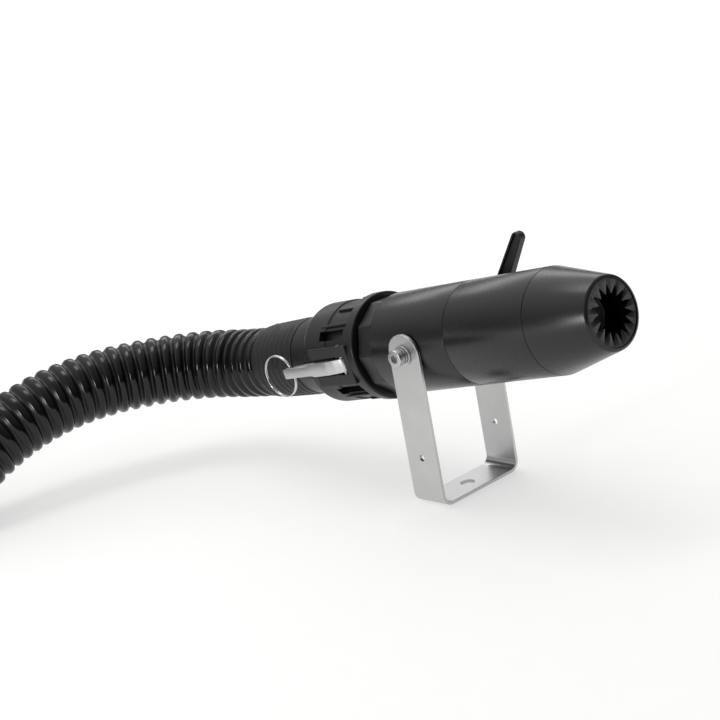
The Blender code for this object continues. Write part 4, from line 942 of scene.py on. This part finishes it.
def makeSock():
    # A profile from the open rear to the closed front and back inside, where the outside swells a
    # little between the gathers: radius * (1 + swell * cos(gathers * turn) * share of the front)
    s = sock
    tip, tipRound = s["radius"] * s["taper"], s["tipRound"]
    shoulder, capStart = s["end"] - s["radius"] * 1.3, s["end"] - tipRound
    share = np.linspace(0, 1, 24)
    straight = np.stack([np.full(12, s["radius"]), np.linspace(s["start"], shoulder, 12)], axis=1)
    taper = np.stack([s["radius"] + (tip - s["radius"]) * share ** 1.4,
                      shoulder + (capStart - shoulder) * share], axis=1)
    cap = arcPoints((tip - tipRound, capStart), tipRound, 0, 90, 9)
    front = np.stack([np.linspace(tip - tipRound - 0.0005, 0, 8), np.full(8, s["end"])], axis=1)
    outer = np.concatenate([straight, taper[1:], cap[1:], front])
    inner = outer - np.stack([np.where(outer[:, 0] > s["wall"], s["wall"], 0),
                              np.where(outer[:, 1] > s["end"] - 0.004, s["wall"], 0)], axis=1)
    profile = np.concatenate([outer, inner[::-1]])
    turn = np.linspace(0, math.tau, 96, endpoint=False)[:, None]
    along = profile[None, :, 1] + 0 * turn
    swell = 1 + s["swell"] * np.cos(s["gathers"] * turn) * np.clip((along - 0.1) / 0.04, 0, 1)
    radius = profile[None, :, 0] * swell
    grid = np.stack([along, radius * np.cos(turn), radius * np.sin(turn)], axis=-1)
    piece = gridPiece("foamSleeve", onAxes(grid), closeRows=True, sharp=60)
    # The knit's coordinates, in metres: round the sleeve, and along it
    places = np.empty(len(piece.data.vertices) * 3, np.float32)
    piece.data.vertices.foreach_get("co", places)
    local = (places.reshape(-1, 3) - pivot) @ headAxes.T
    walked = np.arctan2(local[:, 2], local[:, 1]) * s["radius"]
    knit = np.stack([walked, local[:, 0] - np.hypot(local[:, 1], local[:, 2])], axis=1)
    layer = piece.data.uv_layers.new(name="knit")
    corners = np.empty(len(piece.data.loops), np.int32)
    piece.data.loops.foreach_get("vertex_index", corners)
    layer.data.foreach_set("uv", knit[corners].astype(np.float32).ravel())
    settle(piece, "head", "knit", "foam_sock")


makeSock()
print("stage: foam sleeve is made")

# Bracket: a ground strap bent to a U, with rounded tops and five holes

bracket = {
    "inner": 0.0377, "thickness": 0.0025, "halfWidth": 0.015, "bend": 0.0085, "height": 0.1154,
    "pivotHole": 0.0043, "baseHole": 0.0055, "sideHole": 0.0025, "sideDrop": 0.0787, "edge": 0.00035,
}


def makeBracket():
    # The strap's middle line is carried down one leg, round both bends and up the other. Near a top
    # the half width is sqrt(w ** 2 - height ** 2). The section is a rectangle with round corners.
    b = bracket
    t = b["thickness"] / 2
    leg = b["inner"] + t
    w = b["halfWidth"]
    bend = b["bend"] - t
    floor = -b["height"] + t
    e = b["edge"]
    tops = w * np.cos(np.linspace(0, math.pi / 2, 22))
    down = np.stack([np.full(22, -leg), tops], axis=1)
    straight = np.stack([np.full(14, -leg), np.linspace(0, floor + bend, 15)[1:]], axis=1)
    turn = arcPoints((-leg + bend, floor + bend), bend, 180, 270, 11)[1:]
    base = np.stack([np.linspace(-leg + bend, leg - bend, 12)[1:-1], np.full(10, floor)], axis=1)
    left = np.concatenate([down, straight, turn])
    path = np.concatenate([left, base, (left * (-1, 1))[::-1]])
    tangent = np.gradient(path, axis=0)
    tangent /= np.linalg.norm(tangent, axis=1)[:, None]
    tangent[0], tangent[-1] = (0, -1), (0, 1)
    normal = np.stack([-tangent[:, 1], tangent[:, 0]], axis=1)
    half = np.sqrt(w * w - np.clip(path[:, 1], 0, w) ** 2)[:, None]
    # Each point of the section: its corner's signs, and its place on that corner's arc
    signs = np.repeat([(1, 1), (-1, 1), (-1, -1), (1, -1)], 5, axis=0)
    arcs = np.concatenate([arcPoints((0, 0), e, start, start + 90, 5) for start in (0, 90, 180, 270)])
    x = signs[None, :, 0] * np.maximum(half - e, 0) + arcs[None, :, 0] * np.minimum(half / e, 1)
    out = signs[None, :, 1] * (t - e) + arcs[None, :, 1] + 0 * x
    grid = np.concatenate([x[..., None], path[:, None] + out[..., None] * normal[:, None]], axis=-1)
    upright = np.identity(3)
    strap = gridPiece("strap", onAxes(grid, upright), capEnds=True)
    across, downward = upright[[1, 2, 0]], upright[[2, 0, 1]]
    for radius, drop in ((b["pivotHole"], 0.0), (b["sideHole"], b["sideDrop"])):
        drilled(strap, radius, 0.06, 56, across, pivot - (0, 0, drop))
    drilled(strap, b["baseHole"], 0.015, 72, downward, pivot - (0, 0, b["height"]))
    return eased(strap, 0.00025, 2, 60)


settle(makeBracket(), "bracket", "strap", "bracket")
print("stage: bracket is made")

# Pivot hardware on the near side: flat washer, spring washer and a socket screw

screw = {
    "leg": 0.0402,  # where the bracket's outer face lies on the pivot's axis, on both sides
    "end": 0.028,  # where the thread ends inside the barrel
    "thread": 0.004, "hole": 0.00415, "flat": (0.0075, 0.0016), "spring": (0.0064, 0.0019),
    "head": (0.0063, 0.0052), "headRound": 0.0007, "socket": 0.006, "socketDepth": 0.004,
    "springRise": 0.00012,
}


def makeWasher(name, node, radius, low, top):
    hole = screw["hole"]
    profile = rounded([(hole, low), (hole, top), (radius, top), (radius, low)], 0.00025, 3)
    settle(turnedPiece(name, profile, 64, acrossAxes), "head", "zinc", node)


def makePivotHardware():
    s = screw
    radius, thickness = s["flat"]
    low = s["leg"] + seat
    top = low + thickness
    makeWasher("flatWasher", "flat_washer", radius, -low, -top)
    # One turn of square wire, cut through by a slanting slit: rise * (2 * turn / tau - 1)
    springLow = top + seat
    radius, thickness = s["spring"]
    small = s["springRise"]
    turn = np.radians(np.linspace(27, 383, 90))[:, None]
    wire = rounded([(s["hole"], small), (radius, small), (radius, thickness - small),
                    (s["hole"], thickness - small)], 0.0002, 3)
    rise = small * (2 * turn / math.tau - 1)
    grid = np.stack([-(springLow + wire[None, :, 1] + rise), wire[None, :, 0] * np.sin(turn),
                     wire[None, :, 0] * np.cos(turn)], axis=-1)
    ring = gridPiece("springWasher", onAxes(grid, headAxes[[1, 0, 2]]), capEnds=True)
    settle(ring, "head", "zinc", "spring_washer")
    # The screw, from its rounded head to its end
    radius, height = s["head"]
    headLow = springLow + thickness + seat
    headTop = headLow + height
    profile = [(0, -headTop), (radius - s["headRound"], -headTop), (radius - 0.0002, -headTop + 0.0002),
               (radius, -headTop + s["headRound"]), (radius, -headLow - 0.0003), (radius - 0.0003, -headLow),
               (s["thread"], -headLow), (s["thread"], -s["end"]), (0, -s["end"])]
    bolt = turnedPiece("socketScrew", profile, 96, acrossAxes, closed=False, sharp=30)
    hexagon = arcPoints((0, 0), s["socket"] / math.sqrt(3), 20, 320, 6)
    keyPlace = onAxes((0, -headTop - s["socketDepth"], 0))
    joined(bolt, slabPiece("key", hexagon, s["socketDepth"] * 2, origin=keyPlace), sharp=30)
    settle(eased(bolt, 0.00018, 2, 60), "head", "zinc", "pivot_screw")


makePivotHardware()

# Clamp lever on the far side: washer, serrated hub with its stud, handle with its channel, screw

lever = {
    "length": 0.078, "bendAt": 0.03, "bend": 0.0045, "angle": 60.5, "lean": 3.0,
    "rootWidth": 0.0118, "tipWidth": 0.0084, "thickness": 0.0068, "groove": 0.0018, "inset": 0.0018,
    "boss": 0.0095, "bossHeight": 0.0165, "washer": (0.0075, 0.0016),
    "flange": (0.00817, 0.0016), "neck": 0.006, "neckHeight": 0.0034, "teeth": 24, "toothDepth": 0.0004,
    "bore": 0.00205, "web": 0.0016, "webHole": 0.0022,
    "screw": 0.0019, "screwHead": (0.0042, 0.002), "screwSocket": (0.0014, 0.0012),
}


def makeLever():
    v = lever
    low = screw["leg"] + seat
    washerTop = low + v["washer"][1]
    makeWasher("leverWasher", "lever_washer", v["washer"][0], low, washerTop)
    # The hub with its stud
    flange = v["flange"][0]
    hubLow = washerTop + seat
    flangeTop = hubLow + v["flange"][1]
    neckTop = flangeTop + v["neckHeight"]
    stud, thread = screw["end"], screw["thread"]
    profile = np.array([
        (0, stud), (thread - 0.0004, stud), (thread, stud + 0.0004), (thread, hubLow),
        (flange - 0.00019, hubLow), (flange, hubLow + 0.0002), (flange, flangeTop), (v["neck"], flangeTop),
        (v["neck"], neckTop), (v["bore"], neckTop), (v["bore"], hubLow + 0.001), (0, hubLow + 0.001),
    ])
    # The neck's serrations: radius - depth / 2 * (1 - cos(teeth * turn))
    turn = np.linspace(0, math.tau, 192, endpoint=False)[:, None]
    toothed = np.isclose(profile[:, 0], v["neck"])[None]
    radius = profile[None, :, 0] - toothed * v["toothDepth"] / 2 * (1 - np.cos(v["teeth"] * turn))
    grid = np.stack([profile[None, :, 1] + 0 * turn, radius * np.cos(turn), radius * np.sin(turn)], axis=-1)
    hub = gridPiece("leverHub", onAxes(grid, acrossAxes), closeRows=True, closeColumns=False)
    settle(hub, "lever_hub", "oxide", "lever_hub")
    # The handle's boss, hollow over the neck and, past a web, round the screw's head
    bossLow = flangeTop + seat
    bossTop = bossLow + v["bossHeight"]
    webLow, webTop = neckTop + seat, neckTop + seat + v["web"]
    boss, hole, socket, pocket = v["boss"], v["webHole"], v["neck"] + seat, v["screwHead"][0] + seat
    corners = [(boss, bossLow), (boss, bossTop), (pocket, bossTop), (pocket, webTop), (hole, webTop),
               (hole, webLow), (socket, webLow), (socket, bossLow)]
    ease = [0.0004, 0.0018, 0.0004, 0, 0, 0, 0, 0.0003]
    handle = turnedPiece("leverHandle", rounded(corners, ease, 5), 96, acrossAxes)
    # The arm's own axes: its length at the lever's angle and leaning out, its thickness, its width
    slope = math.radians(v["angle"] - head["pitch"])
    out = math.radians(v["lean"])
    along = math.cos(slope) * headAxes[0] + math.sin(slope) * headAxes[2]
    width = -math.sin(slope) * headAxes[0] + math.cos(slope) * headAxes[2]
    armAxes = np.array([math.cos(out) * along + math.sin(out) * headAxes[1],
                        -math.sin(out) * along + math.cos(out) * headAxes[1], width])
    origin = onAxes((0, bossLow + seat + v["thickness"] / 2, 0))
    # The arm goes straight out of the boss, is offset by the bend, and tapers to its tip
    root, half, tipHalf = boss - 0.0012, v["rootWidth"] / 2, v["tipWidth"] / 2
    bendAt, bend, length = v["bendAt"], v["bend"], v["length"]
    blade = rounded([(root, -half), (bendAt, -half - bend), (length, -tipHalf - bend),
                     (length, tipHalf - bend), (bendAt, half - bend), (root, half)],
                    [0, 0.03, 0.0042, 0.0042, 0.03, 0], 8)
    bar = slabPiece("bar", blade, v["thickness"] / 2, 0.0009, armAxes, origin)
    channelStart, channelEnd = bendAt + 0.004, length - tipHalf + 0.0028
    half, tipHalf = half - v["inset"], tipHalf - v["inset"]
    channel = rounded([(channelStart, -half - bend), (channelEnd, -tipHalf - bend),
                       (channelEnd, tipHalf - bend), (channelStart, half - bend)], 0.0012, 5)
    for sign in (-1, 1):
        shift = origin + armAxes[1] * sign * v["thickness"] / 2
        joined(bar, slabPiece("channel", channel, v["groove"], 0.0, armAxes, shift))
    joined(handle, bar, "UNION")
    settle(eased(handle, 0.0005, 3, 45), "lever_handle", "lever", "lever_handle")
    # The screw that holds the handle on the hub, through the spring
    radius, height = v["screwHead"]
    screwTop = bossTop - 0.0008
    headLow, pin = screwTop - height, hubLow + 0.0015
    profile = [(0, pin), (v["screw"], pin), (v["screw"], headLow), (radius, headLow),
               (radius, screwTop - 0.0004), (radius - 0.0004, screwTop), (0, screwTop)]
    bolt = turnedPiece("leverScrew", profile, 72, acrossAxes, closed=False, sharp=30)
    hexagon = arcPoints((0, 0), v["screwSocket"][0], 0, 300, 6)
    key = slabPiece("key", hexagon, v["screwSocket"][1], origin=onAxes((0, screwTop, 0)))
    joined(bolt, key, sharp=30)
    settle(eased(bolt, 0.00012, 2, 60), "lever_hub", "oxide", "lever_screw")


makeLever()
print("stage: screws and lever are made")

# The hose's far end: a second cuff, and the plug that goes in the air supply's coupler

endOrigin = np.array(coil["end"])
endAxes = np.array([(-1.0, 0, 0), (0, -1.0, 0), (0, 0, 1.0)])
endCuff = makeCuff("endCuff", 0.0, coil["cuffLength"], endAxes, endOrigin)
settle(endCuff, "head", "rubber", "end_cuff")


def makeEndPlug():
    a, c = adapter, coupler
    collar = -seat - 0.014
    tip = collar - a["endLength"]
    groove = grooveArc(collar + a["grooveMiddle"] - a["collarRear"], a["plug"])
    corners = [(c["tailBore"], 0.045), (c["tail"] - 0.0015, 0.045), (c["tail"], 0.042), (c["tail"], -seat),
               (a["endCollar"], -seat), (a["endCollar"], collar), (a["plug"], collar), *groove,
               (a["plug"], tip), (a["bore"], tip), (a["bore"], 0.01), (c["tailBore"], 0.02)]
    ease = [0.0004, 0.0004, 0.0006, 0.0004, 0.0009, 0.0009, 0.0005, *[0] * len(groove),
            0.0015, 0.0006, 0.001, 0.001]
    return turnedPiece("endPlug", rounded(corners, ease, 5), 112, endAxes, endOrigin)


endPlug = settle(makeEndPlug(), "head", "coupler", "end_adapter")

# CAD nodes that stay, inside the head: their shapes are right, and they get a real finish

kept = {
    "sock_carrier": "coupler", "sock_band": "zinc", "spray_jet": "brass", "fluid_tube": "clear",
    "coupler_gasket": "rubber", "pivot_insert_near": "brass", "pivot_insert_far": "brass",
    "lever_spring": "wire",
}
for node, finish in kept.items():
    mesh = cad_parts[node].data
    if not mesh.materials:
        mesh.materials.append(finishes[finish])
    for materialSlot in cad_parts[node].material_slots:
        materialSlot.material = finishes[finish]
print("stage: far end is made, and the inner pieces have their finishes")
